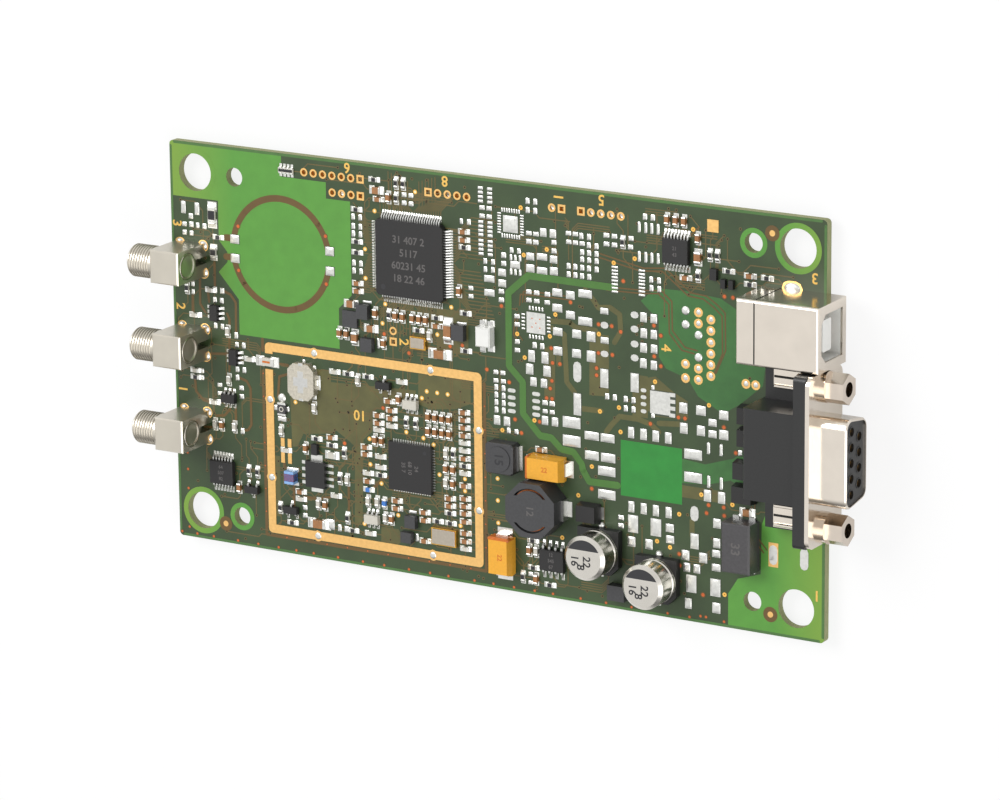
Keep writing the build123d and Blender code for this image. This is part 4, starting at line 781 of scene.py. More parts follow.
BORDER_Y = -37.0
ORANGE_VIAS = (
    (-21.7, 6.7), (-16.5, 3.8), (-7.8, 6.15), (-5.25, 6.65), (-0.2, 2.85), (2.95, 14.9), (4.4, 1.1),
    (5.55, -5.6), (10.6, -5.35), (6.85, -7.95), (-22.2, -7.2), (-30.6, -15.0), (27.75, 22.4),
    (47.75, 22.05), (49.4, 22.05), (17.1, 17.3), (22.75, 14.0), (25.4, 14.0), (27.2, 13.2),
    (33.85, 15.15), (35.2, 13.5), (33.9, 9.6), (35.2, 8.0), (13.1, 8.45), (13.35, 5.8), (14.85, 5.8),
    (22.7, 8.8), (25.5, 8.8), (22.3, 6.0), (22.3, 4.7), (13.2, 2.5), (12.85, 1.05), (12.1, -0.8),
    (13.2, -0.8), (38.7, -0.8), (40.0, -0.8), (47.7, -1.4), (33.1, -2.7), (21.2, -16.25),
    (50.05, -5.7), (44.7, -15.9), (47.7, -15.9), (44.3, -17.4), (47.8, -17.4), (38.85, -25.7),
    (38.95, -27.8), (43.6, -32.5), (43.1, -36.5), (44.2, -36.5), (47.8, -36.8), (-65.3, -21.5),
    (-65.3, -24.7), (-65.3, -28.4), (-65.3, -35.9), (-52.8, 23.1), (-52.9, 14.8), (-33.9, 23.4),
    (-33.9, 14.5),
    *[(x, BORDER_Y) for x in (
        -67.0, -63.6, -59.9, -54.5, -50.0, -45.5, -41.6, -37.8, -32.5, -27.1, -22.5, -17.2, -12.7,
        -8.8, -3.3, 0.7, 5.0, 9.3, 13.1, 18.8, 24.0, 29.2, 36.5, 40.9)])
TEST_DOTS = (
    (-23.3, 29.25), (-7.45, 13.4), (-14.7, 33.7), (-25.45, 22.0), (-25.45, 16.6), (-21.35, 12.3),
    (-22.0, 8.65), (-10.45, 8.0), (7.1, 33.25), (7.65, 24.75), (12.35, 26.3), (30.05, 26.7),
    (25.85, 25.45), (41.6, 33.25), (6.15, 10.2), (7.65, 6.05), (12.85, 10.6), (14.0, 14.7),
    (22.8, 12.25), (34.05, 5.05), (26.8, -0.6), (22.95, -1.8), (27.1, -5.0), (9.55, -5.25),
    (2.9, -7.95), (21.25, -12.15), (18.45, -17.85), (44.75, 2.2), (43.25, -14.2), (49.4, -15.15),
    (38.85, -18.4), (34.4, -24.0), (37.0, -24.75), (15.1, -26.2), (47.9, -31.8), (1.8, -21.2),
    (1.85, -25.4), (1.8, -17.1), (-12.85, -2.85), (-10.65, -2.85), (-8.45, -2.85), (-13.9, -4.25),
    (-17.3, -11.05), (-13.7, -11.7), (-11.55, -12.65), (-10.4, -18.1), (-5.05, -18.15),
    (-5.05, -20.4), (-6.1, -27.1), (-25.2, -13.4), (-25.1, -18.2), (-22.8, -21.5), (-19.3, -27.0),
    (-26.6, -29.7), (-41.1, -8.6))


def row(x, y, count):
    """A row of header holes at 2 mm pitch."""
    pitch = 2.0
    return [(x + pitch * i, y) for i in range(count)]


HEADER_HOLES = [*row(-38.25, 34.75, 6), *row(-32.25, 31.65, 3), *row(-10.0, 33.95, 4), (13.4, 33.95),
                *row(21.3, 33.95, 4), (-19.8, 7.5)]
SQUARE_HOLES = ((-26.25, 34.75), (-26.25, 31.65), (-12.0, 33.95), (15.4, 33.95), (19.3, 33.95),
                (-19.8, 5.5))
JACK_HOLES = [(40.1, 9.05), (40.1, 6.5), (52.0, 7.0), (53.9, 7.0),
              *[(42.65, y) for y in (18.6, 16.6, 8.5, 6.5)],
              *[(45.1, y) for y in (17.6, 15.6, 13.5, 11.5, 9.5, 7.5)]]
SOLDER_HOLES = ((40.1, 18.6), (40.1, 16.1), (42.65, 14.5), (42.65, 10.5))
LOOP_CENTRE = (-43.6, 18.9)
FRAME_BOSSES = ((-36.8, 1.2), (-12.0, 1.2), (-2.0, -8.7), (-2.1, -23.7), (-46.6, -8.8), (-46.6, -23.65),
                (-36.7, -33.5), (-11.95, -33.5))
# unfitted pads as {(width, height): places}
SMALL_PADS = {
    (0.8, 1.1): ((8.5, 34.6), (10.05, 34.6), (8.5, 32.95), (10.05, 32.95), (19.35, 29.5), (20.9, 29.5),
        (-58.3, 8.6), (-56.8, 8.6), (-52.2, 0.65), (24.4, 1.1), (25.95, 1.1), (28.15, 1.1), (29.7, 1.1),
        (28.15, -0.6), (29.7, -0.6), (-53.75, -5.6), (-50.0, -1.7), (-53.7, -4.0), (-52.2, -4.0)),
    (0.8, 1.05): ((-3.6, 29.4), (20.85, 28.0), (22.4, 28.0), (19.5, 26.6), (20.9, 26.6), (22.4, 26.6),
        (16.75, 23.8), (18.1, 23.8), (19.5, 23.8), (20.85, 23.8), (22.4, 23.8), (16.75, 22.3),
        (18.1, 22.3), (19.45, 22.3), (20.9, 22.3)),
    (1.1, 0.8): ((-0.85, 32.35), (0.6, 32.35), (-0.85, 30.85), (0.6, 30.85), (16.75, 29.7),
        (18.15, 29.7), (6.15, 13.4), (6.15, 11.9), (6.15, 7.2), (8.6, 16.65), (10.2, 16.65),
        (12.35, 16.65)),
    (0.8, 1.0): ((19.5, 25.3), (20.9, 25.3), (22.4, 25.3), (-53.7, 0.65), (5.8, -7.9), (50.9, -5.6),
        (51.0, -17.15), (53.6, -17.2), (-57.95, -10.8), (-45.4, -10.2), (-42.9, -10.2)),
    (1.0, 0.8): ((-3.35, 17.4), (-3.35, 15.9), (1.65, 2.6), (3.1, 2.6), (1.65, 1.05), (3.2, 1.05),
        (11.75, -3.3), (13.2, -3.3), (-57.7, -7.5), (-57.7, -9.1), (8.5, -34.0)),
    (1.0, 0.85): ((-64.6, 22.2), (-17.05, 32.9), (-15.6, 32.9), (-17.05, 31.4), (-15.6, 31.4),
        (13.8, 27.7), (29.3, 30.2), (29.2, 28.65), (6.15, 8.75)),
    (0.75, 1.1): ((33.3, 23.3), (34.85, 23.3), (33.35, 21.8), (34.9, 21.8), (-58.3, 3.7), (-56.8, 3.7),
        (4.2, -7.9)),
    (1.1, 0.85): ((2.95, 17.55), (2.95, 16.0), (26.0, 30.2), (26.0, 28.65), (8.6, 18.15), (10.2, 18.15),
        (12.4, 18.15)),
    (1.0, 0.9): ((3.5, 22.7), (13.8, 26.15), (-52.9, -7.5), (-52.9, -9.1), (-39.5, -28.5),
        (-39.5, -30.0)),
    (0.85, 1.1): ((32.1, 34.4), (33.65, 34.4), (9.7, 8.55), (11.25, 8.55), (-52.9, -15.7)),
    (0.75, 1.05): ((-0.3, 22.7), (1.3, 22.7), (-0.3, 21.2), (1.25, 21.25)),
    (1.1, 0.9): ((8.7, 27.3), (10.1, 27.3), (11.75, -1.75), (13.2, -1.75)),
    (0.75, 1.0): ((-61.7, 22.25), (5.15, 25.3), (6.65, 25.3)),
    (1.0, 1.0): ((3.5, 24.2), (-37.0, -1.7), (-37.0, -7.1)),
    (1.05, 0.8): ((16.8, 28.15), (18.15, 28.15), (19.5, 28.15)),
    (0.6, 2.1): ((44.65, -5.6), (47.15, -5.6)), (0.6, 2.2): ((44.7, -11.65), (47.2, -11.65)),
    (0.7, 0.9): ((-61.5, -5.3), (-61.5, -6.6)), (0.7, 1.0): ((-63.1, 11.1), (-63.1, 9.6)),
    (0.8, 1.2): ((-58.2, 10.5), (-53.8, 2.4)), (0.9, 1.1): ((-56.65, 10.5), (-30.5, -31.3)),
    (0.95, 1.0): ((-63.15, 23.85), (-63.1, 22.3)), (1.15, 0.8): ((8.7, 28.8), (10.15, 28.8)),
    (1.15, 0.85): ((24.4, 30.2), (24.4, 28.65)), (1.15, 0.9): ((27.1, -20.75), (27.1, -22.25)),
    (2.6, 0.8): ((-42.0, -21.6), (-42.0, -24.2)), (0.6, 0.8): ((33.6, 3.9),),
    (0.6, 1.2): ((-39.1, -0.9),), (0.6, 1.9): ((-23.0, 4.8),), (0.65, 1.0): ((-5.15, 29.4),),
    (0.7, 0.8): ((33.6, -1.2),), (0.7, 1.1): ((-61.6, 5.3),), (0.7, 1.4): ((-15.4, -30.7),),
    (0.75, 1.3): ((-32.0, -31.3),), (0.85, 0.9): ((-63.1, 20.65),), (0.9, 1.0): ((-60.2, 22.25),),
    (0.95, 0.9): ((-64.6, 20.65),), (1.0, 0.7): ((8.5, -35.6),), (1.0, 2.7): ((-36.1, -4.3),),
    (1.6, 0.6): ((-16.2, -26.0),), (1.8, 0.9): ((-44.1, -12.2),), (1.8, 1.9): ((-34.0, -30.9),),
    (1.9, 0.5): ((-25.2, 12.2),), (2.0, 0.5): ((-5.3, 10.65),)}
PAD_GRIDS = (
    ((-27.9, -26.4), (27.7, 25.95, 24.55, 19.15, 17.7), 0.75, 1.1),
    ((-1.15, 0.75), (35.9, 35.1, 34.3, 33.5, 29.75, 28.95, 28.15, 27.4, 26.35, 25.55, 24.75, 23.95),
     1.05, 0.55),
    ((5.0, 5.9, 6.85), (24.0, 21.4), 0.5, 1.1),
    ((30.95, 32.25, 33.45, 34.7), (32.45, 27.2), 0.55, 1.9),
    ((26.05, 31.45), (24.7, 24.05, 23.45, 22.85, 22.25, 21.6, 20.95, 20.3), 1.3, 0.4),
    ((1.7, 3.2), (-0.2, -1.6, -2.95, -4.35), 0.75, 1.1))
OVAL_GRIDS = (
    ((18.4,), (4.8,), 1.6, 3.8), ((23.95,), (14.0,), 1.6, 1.2), ((23.95,), (8.8,), 1.6, 1.1),
    ((30.0,), (16.6, 14.05, 11.35, 8.85), 1.6, 1.2), ((31.75,), (3.2, 1.95, 0.7, -0.6), 1.15, 0.7),
    ((41.9,), (-17.85,), 1.6, 2.8), ((4.9, 9.95), (-0.35, -1.65, -2.9, -4.15), 1.65, 0.72))


def grid(rows):
    """(x, y, width, height) of each pad in rows of (all x, all y, width, height)."""
    return [(x, y, w, h) for xs, ys, w, h in rows for x in xs for y in ys]


def fine_pads():
    """Every small unfitted pad as (x, y, width, height)."""
    pads = [(x, y, w, h) for (w, h), spots in SMALL_PADS.items() for x, y in spots] + grid(PAD_GRIDS)
    # two square footprints: (middle x, middle y), pads on a side, pitch, side columns, rows, pad size
    for middle_x, middle_y, count, pitch, columns, rows, along, width in (
            (5.0, 30.05, 8, 0.5, (2.65, 7.3), (32.45, 27.8), 0.8, 0.3),
            (10.05, 12.65, 5, 0.65, (7.4, 12.6), (15.25, 10.05), 0.75, 0.35)):
        for i in range(count):
            shift = (i - (count - 1) / 2) * pitch
            pads += [(middle_x + shift, y, width, along) for y in rows]
            pads += [(x, middle_y + shift, along, width) for x in columns]
    return pads


def arc(centre, radius, start, stop, count):
    """Points along an arc, angles in degrees."""
    turns = [math.radians(start + (stop - start) * i / count) for i in range(count + 1)]
    return [(centre[0] + radius * math.cos(turn), centre[1] + radius * math.sin(turn)) for turn in turns]


def dome(*stations):
    """Solder that stands on the board, as (radius, height) above its face."""
    return [(radius, TOP + height) for radius, height in stations]


def pillow(name, base, height):
    """Solder on a pad of unit size: steep at the rim, nearly flat in the middle."""
    deselect()
    bpy.ops.mesh.primitive_grid_add(x_subdivisions=6, y_subdivisions=6, size=MM)
    obj = bpy.context.object
    for vertex in obj.data.vertices:
        x, y = vertex.co.x / MM * 2, vertex.co.y / MM * 2
        vertex.co.x = math.copysign(abs(x) ** 0.7, x) / 2 * MM
        vertex.co.y = math.copysign(abs(y) ** 0.7, y) / 2 * MM
        rise = (1 - abs(x) ** 3) * (1 - abs(y) ** 3)
        vertex.co.z = (base + height * rise) * MM
    return settle(obj, name, "tin")


class READER_OT_holes(bpy.types.Operator):
    """Gold rims of the plated holes, fiducials, loop and frame outline"""
    bl_idname = "reader.holes"
    bl_label = "Hole rims and loop"

    def execute(self, context):
        sizes = context.scene.reader_sizes
        step = sizes.mask_step / MM
        self.rims_and_bores()
        self.fixing_holes(step)
        radius = (sizes.ring_radius - sizes.ring_width / 2) / MM
        loop = [arc(LOOP_CENTRE, radius, start, start + 156, 34) for start in (12, 192)]
        feeds = [((-55.6, y), (-53.6, y)) for y in (20.7, 17.1)]
        ride(tracks("loop", loop + feeds, sizes.ring_width / MM, step * 2.2, "ring_track"))
        self.frame_outline(step)
        return {"FINISHED"}

    def rims_and_bores(self):
        gold = []
        for low, high in ((BED, TOP + 0.035), (-0.035, 0.01)):
            gold.append(spread("rims", band(low, high, 0.45, 0.78), "gold", HEADER_HOLES, closed=True))
            gold.append(spread("jack_rims", band(low, high, 0.47, 0.88), "gold", JACK_HOLES, closed=True))
            gold.append(copies("square_rims", turned(
                "square_rim", band(low, high, 0.56, 1.08), "gold", 4, at(0, 0, 0, 45), closed=True),
                [at(x, y) for x, y in SQUARE_HOLES]))
        ride(join("header_rims", gold))
        plug = dome((0.5, -0.5), (0.5, -0.02), (0.4, 0.03), (0.05, 0.05))
        ride(smooth(spread("jack_hole_solder", plug, "tin", JACK_HOLES, 14), 50))
        silver = [spot for spot in HEADER_HOLES if spot[0] > 12 or spot in ((-30.25, 31.65), (-8.0, 33.95))]
        plain = [spot for spot in HEADER_HOLES if spot not in silver]
        liner = dome((0.42, -0.9), (0.42, -0.42), (0.05, -0.5))
        ride(smooth(spread("header_hole_solder", liner, "tin", silver, 12), 50))
        wall = dome((0.43, 0.02), (0.4, -0.25), (0.24, -0.42), (0.22, -0.5))
        ride(smooth(spread("header_bores", wall, "amber", (*plain, *SQUARE_HOLES), 14, caps=False), 60))
        above = dome((0.82, -0.01), (0.8, 0.04), (0.6, 0.16), (0.3, 0.23), (0.05, 0.25))
        below = [(0.05, -0.95), (0.3, -0.85), (0.45, -0.4), (0.8, -0.06), (0.82, 0.01)]
        ride(smooth(join("filled_holes", [
            spread("filled_above", above, "tin", SOLDER_HOLES, 14),
            spread("filled_below", below, "tin", SOLDER_HOLES, 14)]), 50))

    def fixing_holes(self, step):
        spots = [(4.5, 3.5, 40, (x, y)) for x in (HOLE_X, -HOLE_X) for y in (HOLE_Y, -HOLE_Y)]
        spots += [(2.65, 1.75, 32, (side * SMALL_HOLE_X, side * HOLE_Y)) for side in (1, -1)]
        ride(join("fixing_halos", [
            turned("halo", band(TOP - 0.005, TOP + step * 2, inner, outer), "mask_light", steps, at(*spot),
                   closed=True) for outer, inner, steps, spot in spots]))
        marks = ((57.0, 34.3), (56.95, -34.05), (-57.1, -34.1))
        ride(spread("fiducial_windows", disc(1.4, step * 2.4, 0.005), "ring_track", marks, 24))
        ride(spread("fiducials", disc(0.55, step * 3.4, 0), "gold", marks, 18))

    def frame_outline(self, step):
        low, high, _ = node_box("shield_track")
        grow, pitch = 0.3, 4.4
        x0, y0, x1, y1 = low.x - grow, low.y - grow, high.x + grow, high.y + grow
        outline = [[(x0, -3.6), (x0, y0), (x1, y0), (x1, y1 - 2.4)], [(x0, y1 - 0.1), (x0, 0.3)]]
        ride(tracks("frame_outline", outline, 0.62, step * 2, "ring_track"))
        pins = [(x0 + pitch * i, y0) for i in range(1, 11)]
        pins += [(x, y0 + pitch * i) for x in (x1, x0) for i in range(1, 8)]
        ride(spread("frame_vias", disc(0.13, 0.05, 0), "via", pins, 8))
        ride(spread("frame_lands", disc(1.02, 0.112, -0.02), "gold", FRAME_BOSSES, 24))
        ride(smooth(spread("frame_solder", dome((0.66, 0.1), (0.6, 0.17), (0.4, 0.23), (0.05, 0.25)), "tin",
                           FRAME_BOSSES, 16), 50))


class READER_OT_pads(bpy.types.Operator):
    """Unfitted tinned pads, ovals and slots"""
    bl_idname = "reader.pads"
    bl_label = "Unfitted pads"

    def execute(self, context):
        fine = fine_pads()
        rims = [at(x, y, 0, 0, (w + 0.14, h + 0.14, 1)) for x, y, w, h in fine]
        small = [at(x, y, TOP, 0, (w, h, 0.6 + 0.5 * min(w, h, 1.5))) for x, y, w, h in fine]
        ride(smooth(copies("small_pads", pillow("pad", 0.03, 0.12), small), 60))
        large = []
        for low, high, mid in islands("tinned_pads"):
            size = high - low
            rims.append(at(mid.x, mid.y, 0, 0, (size.x + 0.16, size.y + 0.16, 1)))
            if min(size.x, size.y) < 3.2:
                large.append(at(mid.x, mid.y, high.z, 0, (size.x * 0.98, size.y * 0.98, 1)))
        ride(smooth(copies("large_pads", pillow("pad", -0.01, 0.13), large), 60))
        # the dark outline under each pad is painted shade
        ride(copies("pad_edge_shades", block("pad_edge_shade", (-0.5, -0.5, BED), (0.5, 0.5, TOP + 0.031), "rim"), rims))
        made = []
        for x, y, w, h in grid(OVAL_GRIDS):
            dx, dy = max(0, w - h) / 2, max(0, h - w) / 2
            ends = (x - dx, y - dy), (x + dx + 0.01, y + dy)
            made.append(tracks("oval", [ends], min(w, h), 0.07, "tin"))
        slots = (((57.5, -24.1), (57.5, -22.1)), ((63.55, -24.2), (63.55, -21.8)))
        made.append(tracks("slot_solder", slots, 1.6, 0.1, "tin"))
        ride(join("oval_pads", made))
        ride(join("slot_rims", [
            block("slot_rim", (56.55, -25.3, BED), (58.45, -20.9, TOP + 0.05), "gold"),
            tracks("tab_rim", [((60.2, 25.05), (61.6, 25.05))], 2.6, 0.05, "gold")]))
        mound = dome((1.0, 0), (0.95, 0.12), (0.7, 0.32), (0.35, 0.42), (0.05, 0.44))
        ride(smooth(turned("tab_solder", mound, "tin", 24, at(60.9, 25.1, 0, 0, (1.6, 1, 1))), 60))
        return {"FINISHED"}


def chip_pattern(name, body_key, top_key, end):
    """A chip of unit size along X: body, two metal ends, solder fillets and lands."""
    inner = 0.5 - end
    parts = [block("chip_body", (-inner - 0.05, -0.48, 0.02), (inner + 0.05, 0.48, 0.95), body_key, 0.03)]
    if top_key:
        parts.append(block("chip_top", (-inner, -0.44, 0.9), (inner, 0.44, 1.0), top_key, 0.02))
    for side in (-1, 1):
        for label, near, far, half, top, bevel in (
                ("end", inner, 0.5, 0.5, 1.0, 0.07), ("fillet", 0.5, 0.7, 0.5, 0.62, 0),
                ("land", 0.22, 0.78, 0.62, 0.07, 0)):
            low, high = sorted((side * near, side * far))
            parts.append(block(label, (low, -half, 0.0), (high, half, top), "tin", bevel))
        # the solder runs down and narrows towards its outer end
        for vertex in parts[-2].data.vertices:
            if abs(vertex.co.x) > 0.6 * MM:
                vertex.co.y *= 0.9
                if vertex.co.z > 0.3 * MM:
                    vertex.co.z = 0.1 * MM
    return join(name, parts)


def resistor_array(low, high):
    """Four resistors in one block with four metal terminals on each long side."""
    parts = [block("array_body", (low.x, low.y + 0.1, TOP + 0.02), (high.x, high.y - 0.1, high.z - 0.05),
                   "alumina", 0.04),
             block("array_top", (low.x + 0.15, low.y + 0.35, high.z - 0.1),
                   (high.x - 0.15, high.y - 0.35, high.z), "glaze", 0.02)]
    pitch = (high.x - low.x) / 4
    for i in range(4):
        x = low.x + pitch * (i + 0.5)
        for a, b in ((low.y - 0.02, low.y + 0.3), (high.y - 0.3, high.y + 0.02)):
            parts.append(block("array_end", (x - 0.24, a, TOP), (x + 0.24, b, high.z + 0.01), "tin", 0.04))
        for a, b in ((low.y - 0.6, low.y), (high.y, high.y + 0.6)):
            parts.append(block("array_land", (x - 0.26, a, BED), (x + 0.26, b, TOP + 0.08), "tin", 0.03))
    return join("array", parts)


class READER_OT_chips(bpy.types.Operator):
    """Chip capacitors, resistors and coils with metal ends and solder"""
    bl_idname = "reader.chips"
    bl_label = "Chips"

    def execute(self, context):
        for node, body, cover, end, slot in (
                ("chip_capacitors", "brown", None, 0.2, "brown_ceramic"),
                ("chip_resistors", "alumina", "glaze", 0.24, "black_resistor"),
                ("white_chips", "alumina", None, 0.24, "white_ceramic"),
                ("blue_chips", "blue", None, 0.24, "blue_ceramic")):
            pattern = chip_pattern(node + "_pattern", body, cover, end)
            places, arrays = [], []
            for low, high, mid in islands(node):
                size = high - low
                # the chip in the upper left corner is an array of four resistors
                if mid.y > 34 and mid.x < -38:
                    arrays.append(resistor_array(low, high))
                    continue
                along, across, turn = (size.x, size.y, 0) if size.x >= size.y else (size.y, size.x, 90)
                places.append(at(mid.x, mid.y, TOP, turn, (along, across, high.z - TOP)))
            made = join(node + "_dressed", [copies(node + "_copies", pattern, places), *arrays])
            ride(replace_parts(made, node))
        return {"FINISHED"}


BODIES = ("microcontroller_body", "radio_chip", "interface_chip_body", "buffer_chip_body",
          "logic_chip_body", "switch_bodies", "white_chip_bodies", "transistor_bodies")


def lead_places(node):
    """Tip, direction and width of each lead in a CAD node, seen from its nearest package."""
    bodies = [box for name in BODIES for box in islands(name)]
    found = []
    for low, high, mid in islands(node):
        best = None
        for a, b, _ in bodies:
            dx = max(a.x - mid.x, mid.x - b.x, 0)
            dy = max(a.y - mid.y, mid.y - b.y, 0)
            if best is None or dx + dy < best[0]:
                best = (dx + dy, dx, dy, mid.x > (a.x + b.x) / 2, mid.y > (a.y + b.y) / 2)
        _, dx, dy, right, up = best
        if dx >= dy:
            found.append((high.x if right else low.x, mid.y, facing(True, right), high.y - low.y))
        else:
            found.append((mid.x, high.y if up else low.y, facing(False, up), high.x - low.x))
    return found


class READER_OT_lands(bpy.types.Operator):
    """Solder lands and fillets under the package leads"""
    bl_idname = "reader.lands"
    bl_label = "Lands and fillets"

    def execute(self, context):
        pieces = []
        for node, toe, heel, grow in (
                ("chip_leads", 0.45, 0.7, 0.16), ("small_package_leads", 0.35, 0.55, 0.16),
                ("microcontroller_leads", 0.4, 0.8, 0.06)):
            land = block("land", (-heel, -0.5, BED), (toe, 0.5, TOP + 0.05), "tin")
            fillet = block("toe", (-0.05, -0.42, TOP), (toe - 0.08, 0.42, TOP + 0.2), "tin")
            for vertex in fillet.data.vertices:
                if vertex.co.x > 0.1 * MM and vertex.co.z > (TOP + 0.1) * MM:
                    vertex.co.z = (TOP + 0.06) * MM
            pieces.append(copies(node + "_lands", join("land_pattern", [land, fillet]), [
                at(x, y, 0, turn, (1, width + grow, 1)) for x, y, turn, width in lead_places(node)]))
        ride(join("lead_lands", pieces))
        low, high, mid = node_box("radio_chip")
        pad = block("side_pad", (-0.02, -0.13, TOP), (0.42, 0.13, TOP + 0.12), "tin")
        half, count, pitch = (high.x - low.x) / 2, 16, 0.5
        ride(copies("radio_chip_pads", pad, [
            at(mid.x, mid.y, 0, turn) @ at(half, (i - (count - 1) / 2) * pitch)
            for i in range(count) for turn in (0, 90, 180, 270)]))
        marks = [spread("radio_mark", disc(0.35, 0.006, base=high.z), "ink",
                        ((high.x - 1.3, high.y - 1.3),), 20)]
        low, high, _ = node_box("microcontroller_body")
        marks.append(spread("controller_mark", disc(0.5, 0.006, base=high.z), "ink",
                            ((low.x + 1.6, low.y + 1.6),), 20))
        ride(join("pin_one_marks", marks))
        return {"FINISHED"}


def numeral(text, size, x, y, z, key, turn=0, deep=0.01):
    """A plain printed numeral as a thin mesh."""
    deselect()
    bpy.ops.object.text_add(location=(0, 0, 0))
    text_data = bpy.context.object.data
    text_data.body = text
    text_data.size = size * MM
    text_data.align_x = "CENTER"
    text_data.align_y = "CENTER"
    text_data.resolution_u = 3
    text_data.offset = 0.018 * size * MM
    text_data.extrude = deep * MM
    bpy.ops.object.convert(target="MESH")
    obj = bpy.context.object
    obj.data.transform(at(x, y, z, turn))
    return settle(obj, "numeral", key)


class READER_OT_legend(bpy.types.Operator):
    """Plain printed numerals on the board and parts"""
    bl_idname = "reader.legend"
    bl_label = "Printed numerals"

    def execute(self, context):
        ride(join("legend", [numeral(text, 2.7, x, y, TOP + 0.03, "legend", turn) for text, x, y, turn in (
            ("3", -66.3, 22.2, -90), ("2", -66.0, 6.5, -90), ("1", -66.0, -9.3, -90),
            ("6", -29.0, 36.6, 180), ("8", -8.5, 36.4, 180), ("1", 14.7, 36.0, -90),
            ("5", 23.4, 36.5, 180), ("4", 36.2, 11.4, -90), ("2", -17.6, 5.7, -90),
            ("3", 65.2, 27.4, 180), ("1", 66.0, -29.2, 180), ("10", -27.2, -9.2, 180))]))
        marks = []
        for number in (1, 2):
            _, high, mid = node_box(f"electrolytic_can_{number}")
            for text, dx, dy in (("22", 0.6, -0.5), ("16", -1.8, -0.5), ("8", -0.6, -1.6)):
                marks.append(numeral(text, 2.1, mid.x + dx, mid.y + dy, high.z + 0.01, "ink", -90))
            marks.append(plate("can_mark", arc((mid.x, mid.y), 3.45, 27, 153, 18), high.z - 0.02,
                               high.z + 0.015, "ink"))
        _, high, mid = node_box("block_inductor_body")
        marks.append(numeral("15", 2.4, mid.x, mid.y, high.z + 0.012, "ink", -90))
        ride(join("part_values", marks))
        laser = []
        for name, size, turn, lines in (
                ("microcontroller_body", 1.9, 0, ("31 407 2", "5117", "60231 45", "18 22 46")),
                ("radio_chip", 1.1, -90, ("24", "68 10", "35 7")),
                ("interface_chip_body", 0.9, 0, ("12", "345", "67")),
                ("logic_chip_body", 0.9, 0, ("21", "43")),
                ("buffer_chip_body", 0.9, 0, ("64", "507", "82")),
                ("choke_body", 2.4, -90, ("33",)), ("power_inductor_core", 2.0, -90, ("12",))):
            _, high, mid = node_box(name)
            angle = math.radians(turn)
            for i, text in enumerate(lines):
                shift = ((len(lines) - 1) / 2 - i) * size * 1.25
                laser.append(numeral(text, size, mid.x - math.sin(angle) * shift,
                                     mid.y + math.cos(angle) * shift, high.z + 0.008, "laser", turn, 0.006))
        ride(join("laser_marks", laser))
        values = []
        for number, turn in ((1, 0), (2, -90)):
            _, high, mid = node_box(f"tantalum_capacitor_{number}")
            values.append(numeral("22", 1.3, mid.x + 0.4, mid.y, high.z + 0.008, "band", turn, 0.006))
        ride(join("tantalum_values", values))
        return {"FINISHED"}


class READER_OT_tall_parts(bpy.types.Operator):
    """Bands, crimp rings and windings of the tall parts"""
    bl_idname = "reader.tall_parts"
    bl_label = "Tall parts"

    def execute(self, context):
        bands, width = [], 0.75
        grow = Vector((0.015, 0.015, 0.015))
        for number in (1, 2):
            low, high, _ = node_box(f"tantalum_capacitor_{number}")
            a, b = low - grow, high + grow
            if number == 1:
                b.x = low.x + width
            else:
                a.y = high.y - width
            a.z = low.z + 0.3
            bands.append(block("polarity_band", a, b, "band", 0.25))
        ride(join("polarity_bands", bands))
        rings = []
        for number in (1, 2):
            low, high, mid = node_box(f"electrolytic_can_{number}")
            outer = (high.x - low.x) / 2
            rings.append(turned("crimp", [
                (outer - 0.02, low.z), (outer + 0.05, low.z + 0.12), (outer + 0.05, low.z + 0.3),
                (outer - 0.02, low.z + 0.42)], "aluminium", 48, at(mid.x, mid.y), caps=False))
        ride(smooth(join("can_crimps", rings), 50))
        _, high, mid = node_box("power_inductor_core")
        ride(turned("inductor_winding", band(high.z - 0.62, high.z - 0.47, 3.5, 3.85), "wire", 40,
                    at(mid.x, mid.y), closed=True))
        return {"FINISHED"}


